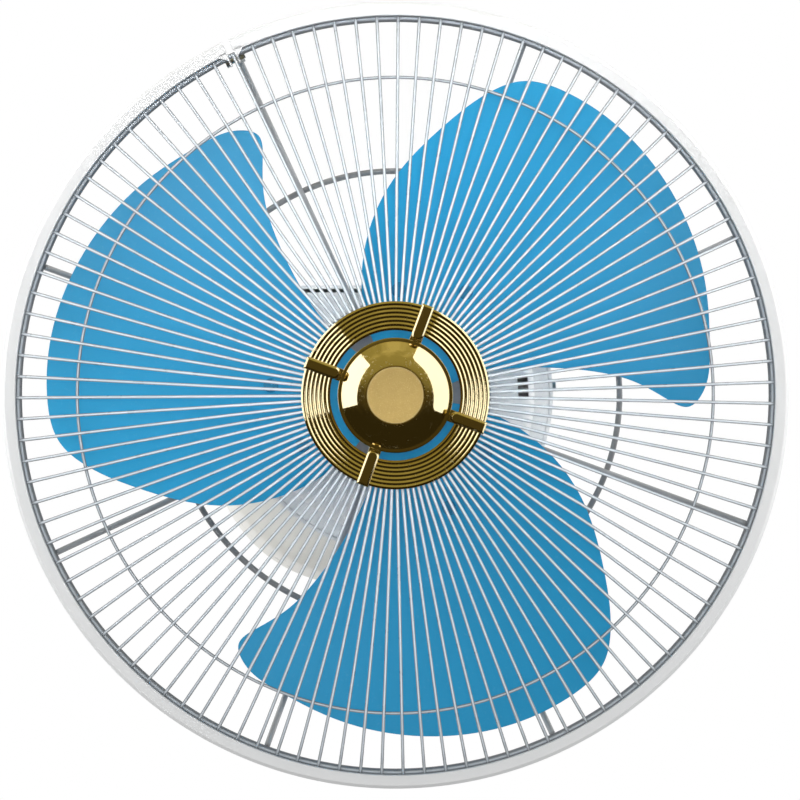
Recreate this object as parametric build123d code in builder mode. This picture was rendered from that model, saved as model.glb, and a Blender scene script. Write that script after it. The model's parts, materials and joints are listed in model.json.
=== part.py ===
from build123d import *
from math import acos, cos, pi, radians, sin, tan
import os

# A 400 mm ceiling orbit fan. Millimetres, +Z up. The origin is the centre of the
# ceiling plate's top face, and everything hangs below it. The head carries the
# motor, blades and guards. It leans from the plumb line about a level bolt, and
# the gear case over it walks slowly round the fixed shaft, so the draught circles.

# Stance of the head: lean from the plumb line, and the direction in which the
# canopy lies as one looks at the guard from in front. Angles on the head are
# counted anticlockwise from the viewer's right hand.
LEAN = 20
CANOPY_SIDE = 229
PIVOT_DROP = 152

# Clearances: a fixed fit, a running shaft, thrust faces, and open running gaps
FIT = 0.3
RUN = 0.05
THRUST = 0.1
SNUG = 0.03

# Ceiling plate and canopy
PLATE_R = 90
PLATE_T = 3
SKIRT_T = 2
SKIRT_H = 14
CEILING_HOLES = 4
CEILING_HOLE_R = 2.75
CEILING_CIRCLE_R = 65
CABLE_R = 5.5
CANOPY_WALL = 1.5
CANOPY_DROP = 62
CANOPY_RIM_H = 20
CANOPY_FOOT_R = 26
CANOPY_SCREWS = 3
CANOPY_SCREW_START = 90

# Ceiling shaft, with its flange, shoulder and threaded end
SHAFT_R = 9
SHAFT_THREAD_R = 8
FLANGE_R = 30
FLANGE_T = 5
FLANGE_BOLTS = 4
FLANGE_CIRCLE_R = 22
BOLT_R = 2.45
BOLT_HOLE_R = 2.7
NUT_FLATS = 8
NUT_H = 4

# Orbit gearing
MODULE = 1.25
FIXED_TEETH = 42
PINION_TEETH = 14
PRESSURE = radians(20)
BACKLASH = 0.16
FIXED_FACE = 8
PINION_FACE = 10
FIXED_HUB_R = 15
FIXED_HUB_H = 12
FIXED_TOP = -78
PINION_SHAFT_R = 3

# Orbit gear case, its lid, bush and motor
CASE_TOP = -70
CASE_FLOOR = -110
CASE_FLOOR_T = 5
CASE_WALL = 3
CASE_R = 36
LOBE_R = 24
LOBE_OFFSET = 42
LID_T = 3.5
EAR_R = 5
EAR_H = 14
BUSH_R = 12
BUSH_BOSS_R = 16.5
BUSH_BOSS_UP = 5
BUSH_BOSS_DOWN = 6
BUSH_FLANGE_R = 16
BUSH_FLANGE_T = 2.5
THRUST_WASHER_T = 1.8
SHAFT_NUT_FLATS = 27
SHAFT_NUT_H = 8
ORBIT_MOTOR_R = 20
ORBIT_MOTOR_H = 18

# Tilt joint
FORK_T = 5
FORK_BASE_X = 33
FORK_BASE_Y = 20
FORK_EAR_R = 14
BARREL_R = 15
BARREL_W = 34.2
TILT_BOLT_R = 4
TILT_HEAD_FLATS = 13
TILT_HEAD_H = 5.5
TILT_WASHER_R = 11
TILT_WASHER_T = 1.5
KNOB_R = 13
KNOB_LOBES = 5
KNOB_LOBE_R = 4
KNOB_T = 12

# Stations along the head, counted forward from the tilt bolt
NECK_FLANGE_AT = 25
NECK_FLANGE_T = 5
NECK_STEM_R = 13
NECK_SCREWS = 3
NECK_CIRCLE_R = 23
BOWL_R = 94
BOWL_FLAT_R = 50
BOWL_WALL = 2
BOWL_RIM_AT = 86
BOWL_CURVE_AT = 74
STATOR_AT = 56
STATOR_L = 28
FACE_AT = 114
PLATE_SEAT_R = 56
GUARD_PLATE_T = 2.5

# Motor
STATOR_R = 54
BORE_R = 30.5
AIR_GAP = 0.4
SLOTS = 12
SLOT_L = 15
SLOT_W = 8
SLOT_MID_R = 40.5
WINDING_OVERHANG = 7.5
BRACKET_WALL = 3.5
BRACKET_LIP = 4
BEARING_R = 15
BEARING_W = 9
SPINDLE_R = 5
THROUGH_BOLTS = 4
THROUGH_CIRCLE_R = 62

# Front cover of the motor. Its top is cut flat, as the bowl's is, with an air gap between.
COVER_R = 82
COVER_WALL = 1.8
COVER_HOLE_R = 44.5
COVER_SHOULDER = 8
COVER_FLAT = 60.2
BOWL_FLAT = 63.5
COVER_SCREW_AT = 80
COVER_SCREW_ANGLES = (3.7, 183.7, 273.7)
WINDOW_R = 75
NOTCH_X = -18.8

# Blades: a twisted, hollow-faced sheet whose leading edge lies to the rear
BLADES = 3
BLADE_T = 1.5
BLADE_MID_AT = 147
BLADE_ANGLE = 50
BLADE_ROOT_R = 24
ROOT_SLOPE = 0.42
TIP_SLOPE = 0.20
SLOPE_FROM = 20
SLOPE_TO = 200
HOLLOW = 420
ARM_T = 2.5
HUB_R = 15
HUB_L = 22
RIVET_R = 2.4
RIVET_HEAD_R = 4.2
RIVET_HEAD_H = 1.3
# Rivet places: distance from the axis, angle from the blade's own middle line
RIVETS = ((60.2, 38.6), (71.4, 5.8))
# Outline of a blade from the root round the leading edge, the ear, the tip and
# back: distance from the axis, angle from the blade's own middle line
BLADE_EDGE = (
    (24, -44),
    (69, -37),
    (92, -40),
    (115, -43),
    (138, -46.5),
    (158, -50.8),
    (171, -52.2),
    (178.5, -49.5),
    (184, -42),
    (190, -31),
    (196.5, -17),
    (200, -3),
    (198.5, 10),
    (192, 18),
    (180, 22.5),
    (155, 29.5),
    (115, 42.5),
    (69, 56),
    (24, 61),
)

# Guards
WIRE_D = 1.8
WIRES = 111
WIRE_START = 2.0
FRONT_RING_R = 216.2
FRONT_RING_AT = 152
FRONT_RING_D = 3
MID_RING_R = 177.3
MID_RING_D = 1.8
GUARD_FRONT_AT = 196
CENTRE_PLATE_IN = 36.5
CENTRE_PLATE_OUT = 51.5
CENTRE_PLATE_T = 1.5
SPOKE_D = 3.5
SPOKES = 8
SPOKE_START = 24.9
REAR_RING_R = 215.5
REAR_RING_AT = 142
REAR_MID_R = 131.5
WELD = 0.2
SPOKE_END_GAP = 1.15
RING_GAP = 0.06

# Rim band
RIM_R = 224.4
RIM_REAR = 138.6
RIM_FRONT = 157
RIM_WALL = 1.3
RIM_GAP = 4
RIM_GAP_ANGLE = 115.7

# Gold centre
GOLD_R = 52.2
GOLD_IN = 36
RIDGES = 7
RIDGE_H = 1.2
RING_TOP = 198.6
STRAPS = 4
STRAP_ANGLE = 69.7
STRAP_W = 7
STRAP_OUT = 53
STRAP_H = 3.7
STRAP_SCREW_R = 42
DOME_R = 32.1
DOME_WALL = 1.3
DOME_H = 12.7
BADGE_R = 15.5
BADGE_T = 0.8


# Frames of the head
def seen_at(angle):
    """Direction on the guard's face that a viewer in front sees at this angle."""
    toward_canopy = Vector(0, -cos(radians(LEAN)), sin(radians(LEAN)))
    turn = radians(angle - CANOPY_SIDE)
    return toward_canopy * cos(turn) + Vector(-1, 0, 0) * sin(turn)


forward = Vector(0, -sin(radians(LEAN)), -cos(radians(LEAN)))
head = Plane(origin=(0, 0, -PIVOT_DROP), x_dir=seen_at(0), z_dir=forward)
side = Plane(origin=head.origin, x_dir=head.x_dir, z_dir=-head.y_dir)
head_axis = Axis(head.origin, forward)


def head_at(angle):
    """The head's own plane turned so that its X points at this angle."""
    return Plane(origin=head.origin, x_dir=seen_at(angle), z_dir=forward)


def side_at(angle):
    """Half plane through the head's axis: X is the radius, Y the station."""
    turned = head_at(angle)
    return Plane(origin=turned.origin, x_dir=turned.x_dir, z_dir=-turned.y_dir)


# Fasteners
def screw(plane, head_r, head_h, shank_r, length):
    """Pan head on the plane, shank behind it, a straight slot in the head."""
    with BuildPart() as made:
        with BuildSketch(plane):
            Circle(head_r)
        extrude(amount=head_h)
        with BuildSketch(plane):
            Circle(shank_r)
        extrude(amount=-length)
        with BuildSketch(plane.offset(head_h)):
            Rectangle(head_r * 3, head_r / 3)
        extrude(amount=-head_h / 3, mode=Mode.SUBTRACT)
    return made.part


def nut(plane, flats, height, bore_r):
    """Hexagon nut standing on the plane, two of its flats square to local X."""
    with BuildPart() as made:
        with BuildSketch(plane):
            RegularPolygon(flats / 2, 6, major_radius=False, rotation=30)
            Circle(bore_r, mode=Mode.SUBTRACT)
        extrude(amount=height)
    return made.part


def group(solids):
    """Separate like solids that share one node."""
    with BuildPart() as made:
        for solid in solids:
            add(solid)
    return made


def polar(radius, angle):
    return (radius * cos(radians(angle)), radius * sin(radians(angle)))


def around(radius, count, start=0):
    """Places on a circle about the Z axis."""
    return [polar(radius, start + 360 / count * i) for i in range(count)]


# Ceiling plate: a pressed pan, flat against the ceiling, with a skirt for the canopy
flange_top = -PLATE_T
CANOPY_SCREW_Z = -PLATE_T - (SKIRT_H - PLATE_T) / 2
with BuildPart() as ceiling_plate:
    with BuildSketch(Plane.XY.offset(-PLATE_T)):
        Circle(PLATE_R)
        with PolarLocations(CEILING_CIRCLE_R, CEILING_HOLES, start_angle=45):
            Circle(CEILING_HOLE_R, mode=Mode.SUBTRACT)
        Circle(CABLE_R + 1, mode=Mode.SUBTRACT)
    extrude(amount=PLATE_T)
    with BuildSketch(Plane.XY.offset(-SKIRT_H)):
        Circle(PLATE_R)
        Circle(PLATE_R - SKIRT_T, mode=Mode.SUBTRACT)
    extrude(amount=SKIRT_H - PLATE_T)
    with Locations(Plane.XY):
        with PolarLocations(FLANGE_CIRCLE_R, FLANGE_BOLTS):
            CounterSinkHole(BOLT_HOLE_R, BOLT_HOLE_R * 1.9, depth=PLATE_T, counter_sink_angle=90)
    for x, y in around(1, CANOPY_SCREWS, CANOPY_SCREW_START):
        with BuildSketch(Plane(origin=(0, 0, CANOPY_SCREW_Z), z_dir=(x, y, 0))):
            Circle(2.05)
        extrude(amount=PLATE_R + 1, mode=Mode.SUBTRACT)
    chamfer(ceiling_plate.edges().group_by(Axis.Z)[-1].filter_by(
        lambda e: e.geom_type == GeomType.CIRCLE and e.radius > PLATE_R - 1), 0.8)

# Canopy: a deep spun bowl that hides the plate and the wiring
canopy_r = PLATE_R + FIT + CANOPY_WALL
canopy_top = -1


def bowl(wall):
    """Half section of the canopy's bowl, drawn in by the wall."""
    reach = canopy_r - CANOPY_FOOT_R - wall
    depth = CANOPY_DROP - CANOPY_RIM_H - wall
    foot = -CANOPY_RIM_H - depth
    with BuildSketch(Plane.XZ) as made:
        with BuildLine():
            Polyline(
                (CANOPY_FOOT_R, foot),
                (0, foot),
                (0, canopy_top),
                (canopy_r - wall, canopy_top),
                (canopy_r - wall, -CANOPY_RIM_H),
            )
            EllipticalCenterArc((CANOPY_FOOT_R, -CANOPY_RIM_H), reach, depth, start_angle=270, arc_size=90)
        make_face()
    return made.sketch


with BuildPart() as canopy:
    add(revolve(bowl(0), axis=Axis.Z))
    add(revolve(bowl(CANOPY_WALL), axis=Axis.Z), mode=Mode.SUBTRACT)
    with BuildSketch(Plane.XY.offset(-CANOPY_DROP - 5)):
        Circle(SHAFT_R + 2)
    extrude(amount=10, mode=Mode.SUBTRACT)
    for x, y in around(1, CANOPY_SCREWS, CANOPY_SCREW_START):
        with BuildSketch(Plane(origin=(0, 0, CANOPY_SCREW_Z), z_dir=(x, y, 0))):
            Circle(2.2)
        extrude(amount=canopy_r + 1, mode=Mode.SUBTRACT)

canopy_screws = group([
    screw(Plane(origin=(x, y, CANOPY_SCREW_Z), z_dir=(x, y, 0)), 3.8, 2.2, 2.0, 6)
    for x, y in around(canopy_r + 0.1, CANOPY_SCREWS, CANOPY_SCREW_START)
])

# Ceiling shaft: hollow for the cable, flanged on top, threaded below its shoulder
case_under = CASE_FLOOR - CASE_FLOOR_T
bush_foot = case_under - BUSH_BOSS_DOWN - BUSH_FLANGE_T
shoulder = bush_foot - THRUST
shaft_end = shoulder - THRUST_WASHER_T - SHAFT_NUT_H - 1.8
with BuildPart() as ceiling_shaft:
    with BuildSketch(Plane.XZ):
        with BuildLine():
            Polyline(
                (CABLE_R, flange_top),
                (FLANGE_R, flange_top),
                (FLANGE_R, flange_top - FLANGE_T),
                (SHAFT_R, flange_top - FLANGE_T),
                (SHAFT_R, shoulder),
                (SHAFT_THREAD_R, shoulder),
                (SHAFT_THREAD_R, shaft_end),
                (CABLE_R, shaft_end),
                close=True,
            )
        make_face()
    revolve(axis=Axis.Z)
    with BuildSketch(Plane.XY.offset(flange_top)):
        with PolarLocations(FLANGE_CIRCLE_R, FLANGE_BOLTS):
            Circle(BOLT_HOLE_R)
    extrude(amount=-FLANGE_T, mode=Mode.SUBTRACT)


def flange_bolt(x, y):
    """Countersunk bolt whose head is just under the plate's top face."""
    tip = flange_top - FLANGE_T - NUT_H - 2
    with BuildPart() as made:
        with BuildSketch(Plane(origin=(x, y, 0), x_dir=(1, 0, 0), z_dir=(0, -1, 0))):
            with BuildLine():
                Polyline((0, -0.1), (4.8, -0.1), (BOLT_R, -2.45), (BOLT_R, tip), (0, tip), close=True)
            make_face()
        revolve(axis=Axis((x, y, 0), (0, 0, 1)))
    return made.part


flange_bolts = group([flange_bolt(x, y) for x, y in around(FLANGE_CIRCLE_R, FLANGE_BOLTS)])
flange_nuts = group([
    nut(Plane(origin=(x, y, flange_top - FLANGE_T), z_dir=(0, 0, -1)), NUT_FLATS, NUT_H, BOLT_R + SNUG)
    for x, y in around(FLANGE_CIRCLE_R, FLANGE_BOLTS)
])

# Orbit gears: the pinion walks round the fixed gear
fixed_r = MODULE * FIXED_TEETH / 2
pinion_r = MODULE * PINION_TEETH / 2
centres = fixed_r + pinion_r


def involute(angle):
    return tan(angle) - angle


def tooth(teeth):
    """Corners of one involute tooth about the X axis, from the root circle out."""
    pitch_r = MODULE * teeth / 2
    base_r = pitch_r * cos(PRESSURE)
    root_r = pitch_r - 1.25 * MODULE
    half_at_pitch = pi / (2 * teeth) - BACKLASH / (4 * pitch_r)
    radii = [root_r - 0.2, max(base_r, root_r), pitch_r, pitch_r + MODULE * 0.55, pitch_r + MODULE]
    flank = []
    for r in radii:
        spread = half_at_pitch + involute(PRESSURE) - involute(acos(min(1, base_r / r)))
        flank.append((r * cos(spread), r * sin(spread)))
    return flank + [(x, -y) for x, y in reversed(flank)]


def toothed(teeth, start):
    """Outline of a whole gear with one tooth centred at the start angle."""
    with BuildSketch() as made:
        Circle(MODULE * (teeth / 2 - 1.25))
        with PolarLocations(0, teeth, start_angle=start):
            Polygon(*tooth(teeth), align=None)
    return made.sketch


fixed_outline = toothed(FIXED_TEETH, 90)
pinion_outline = toothed(PINION_TEETH, 270 + 180 / PINION_TEETH)
grub_z = FIXED_TOP - FIXED_FACE - FIXED_HUB_H / 2
with BuildPart() as fixed_gear:
    with BuildSketch(Plane.XY.offset(FIXED_TOP - FIXED_FACE)):
        add(fixed_outline)
        Circle(SHAFT_R + SNUG, mode=Mode.SUBTRACT)
    extrude(amount=FIXED_FACE)
    with BuildSketch(Plane.XY.offset(FIXED_TOP - FIXED_FACE - FIXED_HUB_H)):
        Circle(FIXED_HUB_R)
        Circle(SHAFT_R + SNUG, mode=Mode.SUBTRACT)
    extrude(amount=FIXED_HUB_H)
    with BuildSketch(Plane.XZ.offset(-FIXED_HUB_R - 1)):
        with Locations((0, grub_z)):
            Circle(2.5 + SNUG)
    extrude(amount=2 * FIXED_HUB_R + 2, mode=Mode.SUBTRACT)

with BuildPart() as gear_grub_screws:
    for facing in (1, -1):
        with BuildSketch(Plane(origin=(0, facing * (SHAFT_R + 0.1), grub_z), z_dir=(0, facing, 0))):
            Circle(2.5)
        extrude(amount=FIXED_HUB_R - SHAFT_R - 0.4)

pinion_top = FIXED_TOP + 1
with BuildPart() as orbit_pinion:
    with BuildSketch(Plane.XY.offset(pinion_top - PINION_FACE)):
        with Locations((0, centres)):
            add(pinion_outline)
            Circle(PINION_SHAFT_R + SNUG, mode=Mode.SUBTRACT)
    extrude(amount=PINION_FACE)

motor_top = CASE_FLOOR + 0.1 + ORBIT_MOTOR_H
with BuildPart() as pinion_shaft:
    with BuildSketch(Plane.XY.offset(motor_top - 8)):
        with Locations((0, centres)):
            Circle(PINION_SHAFT_R)
    extrude(amount=pinion_top + 3 - motor_top + 8)
    chamfer(pinion_shaft.edges().group_by(Axis.Z)[-1], 0.5)


# Orbit gear case: a pear shape, the round end about the shaft, the lobe over the motor
def pear(inset, plane):
    """Outline of the gear case on a plane, drawn in by the inset."""
    with BuildSketch(plane) as made:
        Circle(CASE_R - inset)
        with Locations((0, LOBE_OFFSET)):
            Circle(LOBE_R - inset)
        make_hull()
    return made.sketch


ear_places = [polar(CASE_R + 1.5, angle) for angle in (205, 335)]
for angle in (25, 155):
    x, y = polar(LOBE_R + 1.5, angle)
    ear_places.append((x, y + LOBE_OFFSET))
fork_places = [(x, y) for x in (-28, 28) for y in (-13, 13)]
motor_foot_places = [(-13, LOBE_OFFSET + 4), (13, LOBE_OFFSET + 4)]
with BuildPart() as orbit_case:
    add(extrude(pear(0, Plane.XY.offset(case_under)), amount=CASE_TOP - case_under))
    fillet(orbit_case.edges().group_by(Axis.Z)[0], 2)
    with BuildSketch(Plane.XY.offset(CASE_TOP - EAR_H)):
        with Locations(*ear_places):
            Circle(EAR_R)
    extrude(amount=EAR_H)
    add(extrude(pear(CASE_WALL, Plane.XY.offset(CASE_FLOOR)), amount=CASE_TOP - CASE_FLOOR),
        mode=Mode.SUBTRACT)
    with BuildSketch(Plane.XY.offset(case_under - BUSH_BOSS_DOWN)):
        Circle(BUSH_BOSS_R)
    extrude(amount=BUSH_BOSS_DOWN + CASE_FLOOR_T + BUSH_BOSS_UP)
    with BuildSketch(Plane.XY.offset(case_under - BUSH_BOSS_DOWN)):
        Circle(BUSH_R + SNUG)
    extrude(amount=BUSH_BOSS_DOWN + CASE_FLOOR_T + BUSH_BOSS_UP, mode=Mode.SUBTRACT)
    with BuildSketch(Plane.XY.offset(CASE_TOP)):
        with Locations(*ear_places):
            Circle(2 + SNUG)
    extrude(amount=-10, mode=Mode.SUBTRACT)
    with BuildSketch(Plane.XY.offset(case_under)):
        with Locations(*fork_places):
            Circle(BOLT_R + SNUG)
    extrude(amount=CASE_FLOOR_T, mode=Mode.SUBTRACT)
    with BuildSketch(Plane.XY.offset(case_under)):
        with Locations(*motor_foot_places):
            Circle(1.6)
    extrude(amount=CASE_FLOOR_T, mode=Mode.SUBTRACT)

with BuildPart() as orbit_case_lid:
    add(extrude(pear(0, Plane.XY.offset(CASE_TOP)), amount=LID_T))
    with BuildSketch(Plane.XY.offset(CASE_TOP)):
        with Locations(*ear_places):
            Circle(EAR_R)
    extrude(amount=LID_T)
    with BuildSketch(Plane.XY.offset(CASE_TOP)):
        Circle(SHAFT_R + FIT)
        with Locations(*ear_places):
            Circle(2.2)
    extrude(amount=LID_T, mode=Mode.SUBTRACT)

lid_screws = group([
    screw(Plane(origin=(x, y, CASE_TOP + LID_T)), 3.6, 2.0, 2.0, LID_T + 9) for x, y in ear_places
])

with BuildPart() as orbit_bush:
    with BuildSketch(Plane.XY.offset(bush_foot)):
        Circle(BUSH_FLANGE_R)
    extrude(amount=BUSH_FLANGE_T)
    with BuildSketch(Plane.XY.offset(bush_foot)):
        Circle(BUSH_R)
    extrude(amount=CASE_FLOOR + BUSH_BOSS_UP - bush_foot)
    with BuildSketch(Plane.XY.offset(bush_foot)):
        Circle(SHAFT_R + RUN)
    extrude(amount=60, mode=Mode.SUBTRACT)

with BuildPart() as thrust_washer:
    with BuildSketch(Plane.XY.offset(shoulder - THRUST_WASHER_T)):
        Circle(BUSH_FLANGE_R)
        Circle(SHAFT_THREAD_R + SNUG, mode=Mode.SUBTRACT)
    extrude(amount=THRUST_WASHER_T)

shaft_nut = group([
    nut(Plane.XY.offset(shoulder - THRUST_WASHER_T - SHAFT_NUT_H), SHAFT_NUT_FLATS, SHAFT_NUT_H,
        SHAFT_THREAD_R + SNUG)
])

with BuildPart() as orbit_motor:
    with BuildSketch(Plane.XY.offset(CASE_FLOOR + 0.1)):
        with Locations((0, LOBE_OFFSET)):
            Circle(ORBIT_MOTOR_R)
    extrude(amount=ORBIT_MOTOR_H)
    chamfer(orbit_motor.edges(), 0.8)
    with BuildSketch(Plane.XY.offset(motor_top)):
        with Locations((0, centres)):
            Circle(PINION_SHAFT_R + RUN)
    extrude(amount=-10, mode=Mode.SUBTRACT)
    with BuildSketch(Plane.XY.offset(CASE_FLOOR)):
        with Locations(*motor_foot_places):
            Circle(1.5 + SNUG)
    extrude(amount=5, mode=Mode.SUBTRACT)

orbit_motor_screws = group([
    screw(Plane(origin=(x, y, case_under), z_dir=(0, 0, -1)), 2.8, 1.8, 1.5, CASE_FLOOR_T + 4)
    for x, y in motor_foot_places
])

# Tilt fork: a bent strap bolted under the gear case, with a round ear each side
fork_in = BARREL_W / 2 + FIT
with BuildPart() as tilt_fork:
    with BuildSketch(Plane.XY.offset(case_under - FORK_T)):
        RectangleRounded(2 * FORK_BASE_X, 2 * FORK_BASE_Y, 4)
        Circle(BUSH_BOSS_R + FIT, mode=Mode.SUBTRACT)
        with Locations(*fork_places):
            Circle(BOLT_HOLE_R, mode=Mode.SUBTRACT)
    extrude(amount=FORK_T)
    for facing in (1, -1):
        with BuildSketch(Plane.YZ.offset(facing * fork_in)) as ear:
            with Locations((0, -PIVOT_DROP)):
                Circle(FORK_EAR_R)
            with Locations((0, case_under - FORK_T / 2)):
                Rectangle(2 * FORK_BASE_Y, FORK_T)
            make_hull()
            with Locations((0, -PIVOT_DROP)):
                Circle(TILT_BOLT_R + RUN, mode=Mode.SUBTRACT)
        extrude(amount=facing * FORK_T)

fork_screws = group([
    screw(Plane(origin=(x, y, case_under - FORK_T), z_dir=(0, 0, -1)), 4.2, 2.8, BOLT_R,
          FORK_T + CASE_FLOOR_T - 0.5)
    for x, y in fork_places
])

fork_out = fork_in + FORK_T
bolt_plane = Plane(origin=(-fork_out - 0.1, 0, -PIVOT_DROP), z_dir=(-1, 0, 0))
with BuildPart() as tilt_bolt:
    with BuildSketch(bolt_plane):
        RegularPolygon(TILT_HEAD_FLATS / 2, 6, major_radius=False)
    extrude(amount=TILT_HEAD_H)
    with BuildSketch(bolt_plane):
        Circle(TILT_BOLT_R)
    extrude(amount=-(2 * fork_out + TILT_WASHER_T + KNOB_T - 3))

with BuildPart() as tilt_washer:
    with BuildSketch(Plane(origin=(fork_out, 0, -PIVOT_DROP), z_dir=(1, 0, 0))):
        Circle(TILT_WASHER_R)
        Circle(TILT_BOLT_R + RUN, mode=Mode.SUBTRACT)
    extrude(amount=TILT_WASHER_T)

with BuildPart() as tilt_knob:
    with BuildSketch(Plane(origin=(fork_out + TILT_WASHER_T, 0, -PIVOT_DROP), z_dir=(1, 0, 0))):
        Circle(KNOB_R)
        with PolarLocations(KNOB_R, KNOB_LOBES):
            Circle(KNOB_LOBE_R)
    extrude(amount=KNOB_T)
    with BuildSketch(Plane(origin=(fork_out + TILT_WASHER_T, 0, -PIVOT_DROP), z_dir=(1, 0, 0))):
        Circle(TILT_BOLT_R + SNUG)
    extrude(amount=KNOB_T - 2, mode=Mode.SUBTRACT)
    fillet(tilt_knob.faces().sort_by(Axis.X)[-1].edges(), 1.5)

# Neck: a cast barrel on the tilt bolt, a stem and a flange against the rear cover
flange_face = NECK_FLANGE_AT + NECK_FLANGE_T
with BuildPart() as motor_neck:
    with BuildSketch(Plane.YZ.offset(-BARREL_W / 2)):
        with Locations((0, -PIVOT_DROP)):
            Circle(BARREL_R)
    extrude(amount=BARREL_W)
    with BuildSketch(head):
        Circle(NECK_STEM_R)
    extrude(amount=NECK_FLANGE_AT)
    with BuildSketch(head.offset(NECK_FLANGE_AT)):
        Circle(FLANGE_R)
    extrude(amount=NECK_FLANGE_T)
    with BuildSketch(head.offset(NECK_FLANGE_AT)):
        with PolarLocations(NECK_CIRCLE_R, NECK_SCREWS):
            Circle(BOLT_HOLE_R)
    extrude(amount=NECK_FLANGE_T, mode=Mode.SUBTRACT)
    with BuildSketch(Plane.YZ.offset(-BARREL_W / 2)):
        with Locations((0, -PIVOT_DROP)):
            Circle(TILT_BOLT_R + RUN)
    extrude(amount=BARREL_W, mode=Mode.SUBTRACT)

# Rear cover: a wide white bowl, its back clamped under the neck and its top cut flat
bowl_in = BOWL_R - BOWL_WALL
bowl_back_in = flange_face + BOWL_WALL


def flat_topped(build, top):
    """Cut a shape on the head flat, this far above the axis."""
    with BuildPart() as waste:
        with BuildSketch(head):
            with Locations((0, top + BOWL_R)):
                Rectangle(3 * BOWL_R, 2 * BOWL_R)
        extrude(amount=2 * FACE_AT)
    return build.part - waste.part


def bowl_body(radius, back, top):
    """Solid body of the bowl out to one of its faces."""
    with BuildPart() as made:
        with BuildSketch(side):
            with BuildLine():
                Polyline((0, back), (BOWL_FLAT_R, back))
                TangentArc((BOWL_FLAT_R, back), (radius, BOWL_CURVE_AT), tangent=(1, 0))
                Polyline((radius, BOWL_CURVE_AT), (radius, BOWL_RIM_AT), (0, BOWL_RIM_AT), (0, back))
            make_face()
        revolve(axis=head_axis)
    return flat_topped(made, top)


with BuildPart() as motor_rear_cover:
    add(bowl_body(BOWL_R, flange_face, BOWL_FLAT + BOWL_WALL))
    add(bowl_body(bowl_in, bowl_back_in, BOWL_FLAT), mode=Mode.SUBTRACT)
    with BuildSketch(head.offset(flange_face)):
        Circle(NECK_STEM_R)
        with PolarLocations(NECK_CIRCLE_R, NECK_SCREWS):
            Circle(BOLT_HOLE_R)
    extrude(amount=BOWL_WALL, mode=Mode.SUBTRACT)
    for angle in COVER_SCREW_ANGLES:
        with BuildSketch(side_at(angle + 90)):
            with Locations((0, COVER_SCREW_AT)):
                Circle(2.2)
        extrude(amount=BOWL_R + 1, mode=Mode.SUBTRACT)

# Motor brackets: two cast cups that hold the bearings and grip the stator's edges
stator_end = STATOR_AT + STATOR_L
lip_in = STATOR_R + 0.2
lip_out = STATOR_R + BRACKET_WALL
pocket_r = BEARING_R + SNUG
rear_floor = bowl_back_in + 6
with BuildPart() as motor_rear_bracket:
    with BuildSketch(side):
        with BuildLine():
            Polyline(
                (0, bowl_back_in),
                (FLANGE_R, bowl_back_in),
                (lip_out, 48),
                (lip_out, STATOR_AT + BRACKET_LIP),
                (lip_in, STATOR_AT + BRACKET_LIP),
                (lip_in, STATOR_AT),
                (lip_in - 3, STATOR_AT),
                (lip_in - 3, 51.5),
                (FLANGE_R, rear_floor + 0.5),
                (pocket_r + 4, rear_floor + 0.5),
                (pocket_r + 4, rear_floor + BEARING_W + 2),
                (pocket_r, rear_floor + BEARING_W + 2),
                (pocket_r, rear_floor),
                (0, rear_floor),
                close=True,
            )
        make_face()
    revolve(axis=head_axis)
    with BuildSketch(head.offset(STATOR_AT - 2)):
        with PolarLocations(THROUGH_CIRCLE_R, THROUGH_BOLTS, start_angle=45):
            Circle(5)
        Circle(STATOR_R - 2, mode=Mode.SUBTRACT)
    extrude(amount=BRACKET_LIP + 2)
    with BuildSketch(head.offset(STATOR_AT)):
        Circle(lip_in)
    extrude(amount=BRACKET_LIP, mode=Mode.SUBTRACT)
    with BuildSketch(head.offset(bowl_back_in)):
        with PolarLocations(THROUGH_CIRCLE_R, THROUGH_BOLTS, start_angle=45):
            Circle(2.2)
        with PolarLocations(43, 8, start_angle=22.5):
            Circle(6)
    extrude(amount=40, mode=Mode.SUBTRACT)
    with BuildSketch(head.offset(bowl_back_in)):
        with PolarLocations(NECK_CIRCLE_R, NECK_SCREWS):
            Circle(BOLT_R + SNUG)
    extrude(amount=8, mode=Mode.SUBTRACT)

neck_screws = group([
    screw(Plane(origin=head.from_local_coords((x, y, NECK_FLANGE_AT)), z_dir=-forward),
          4.2, 2.8, BOLT_R, NECK_FLANGE_T + BOWL_WALL + 5)
    for x, y in around(NECK_CIRCLE_R, NECK_SCREWS)
])

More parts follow.
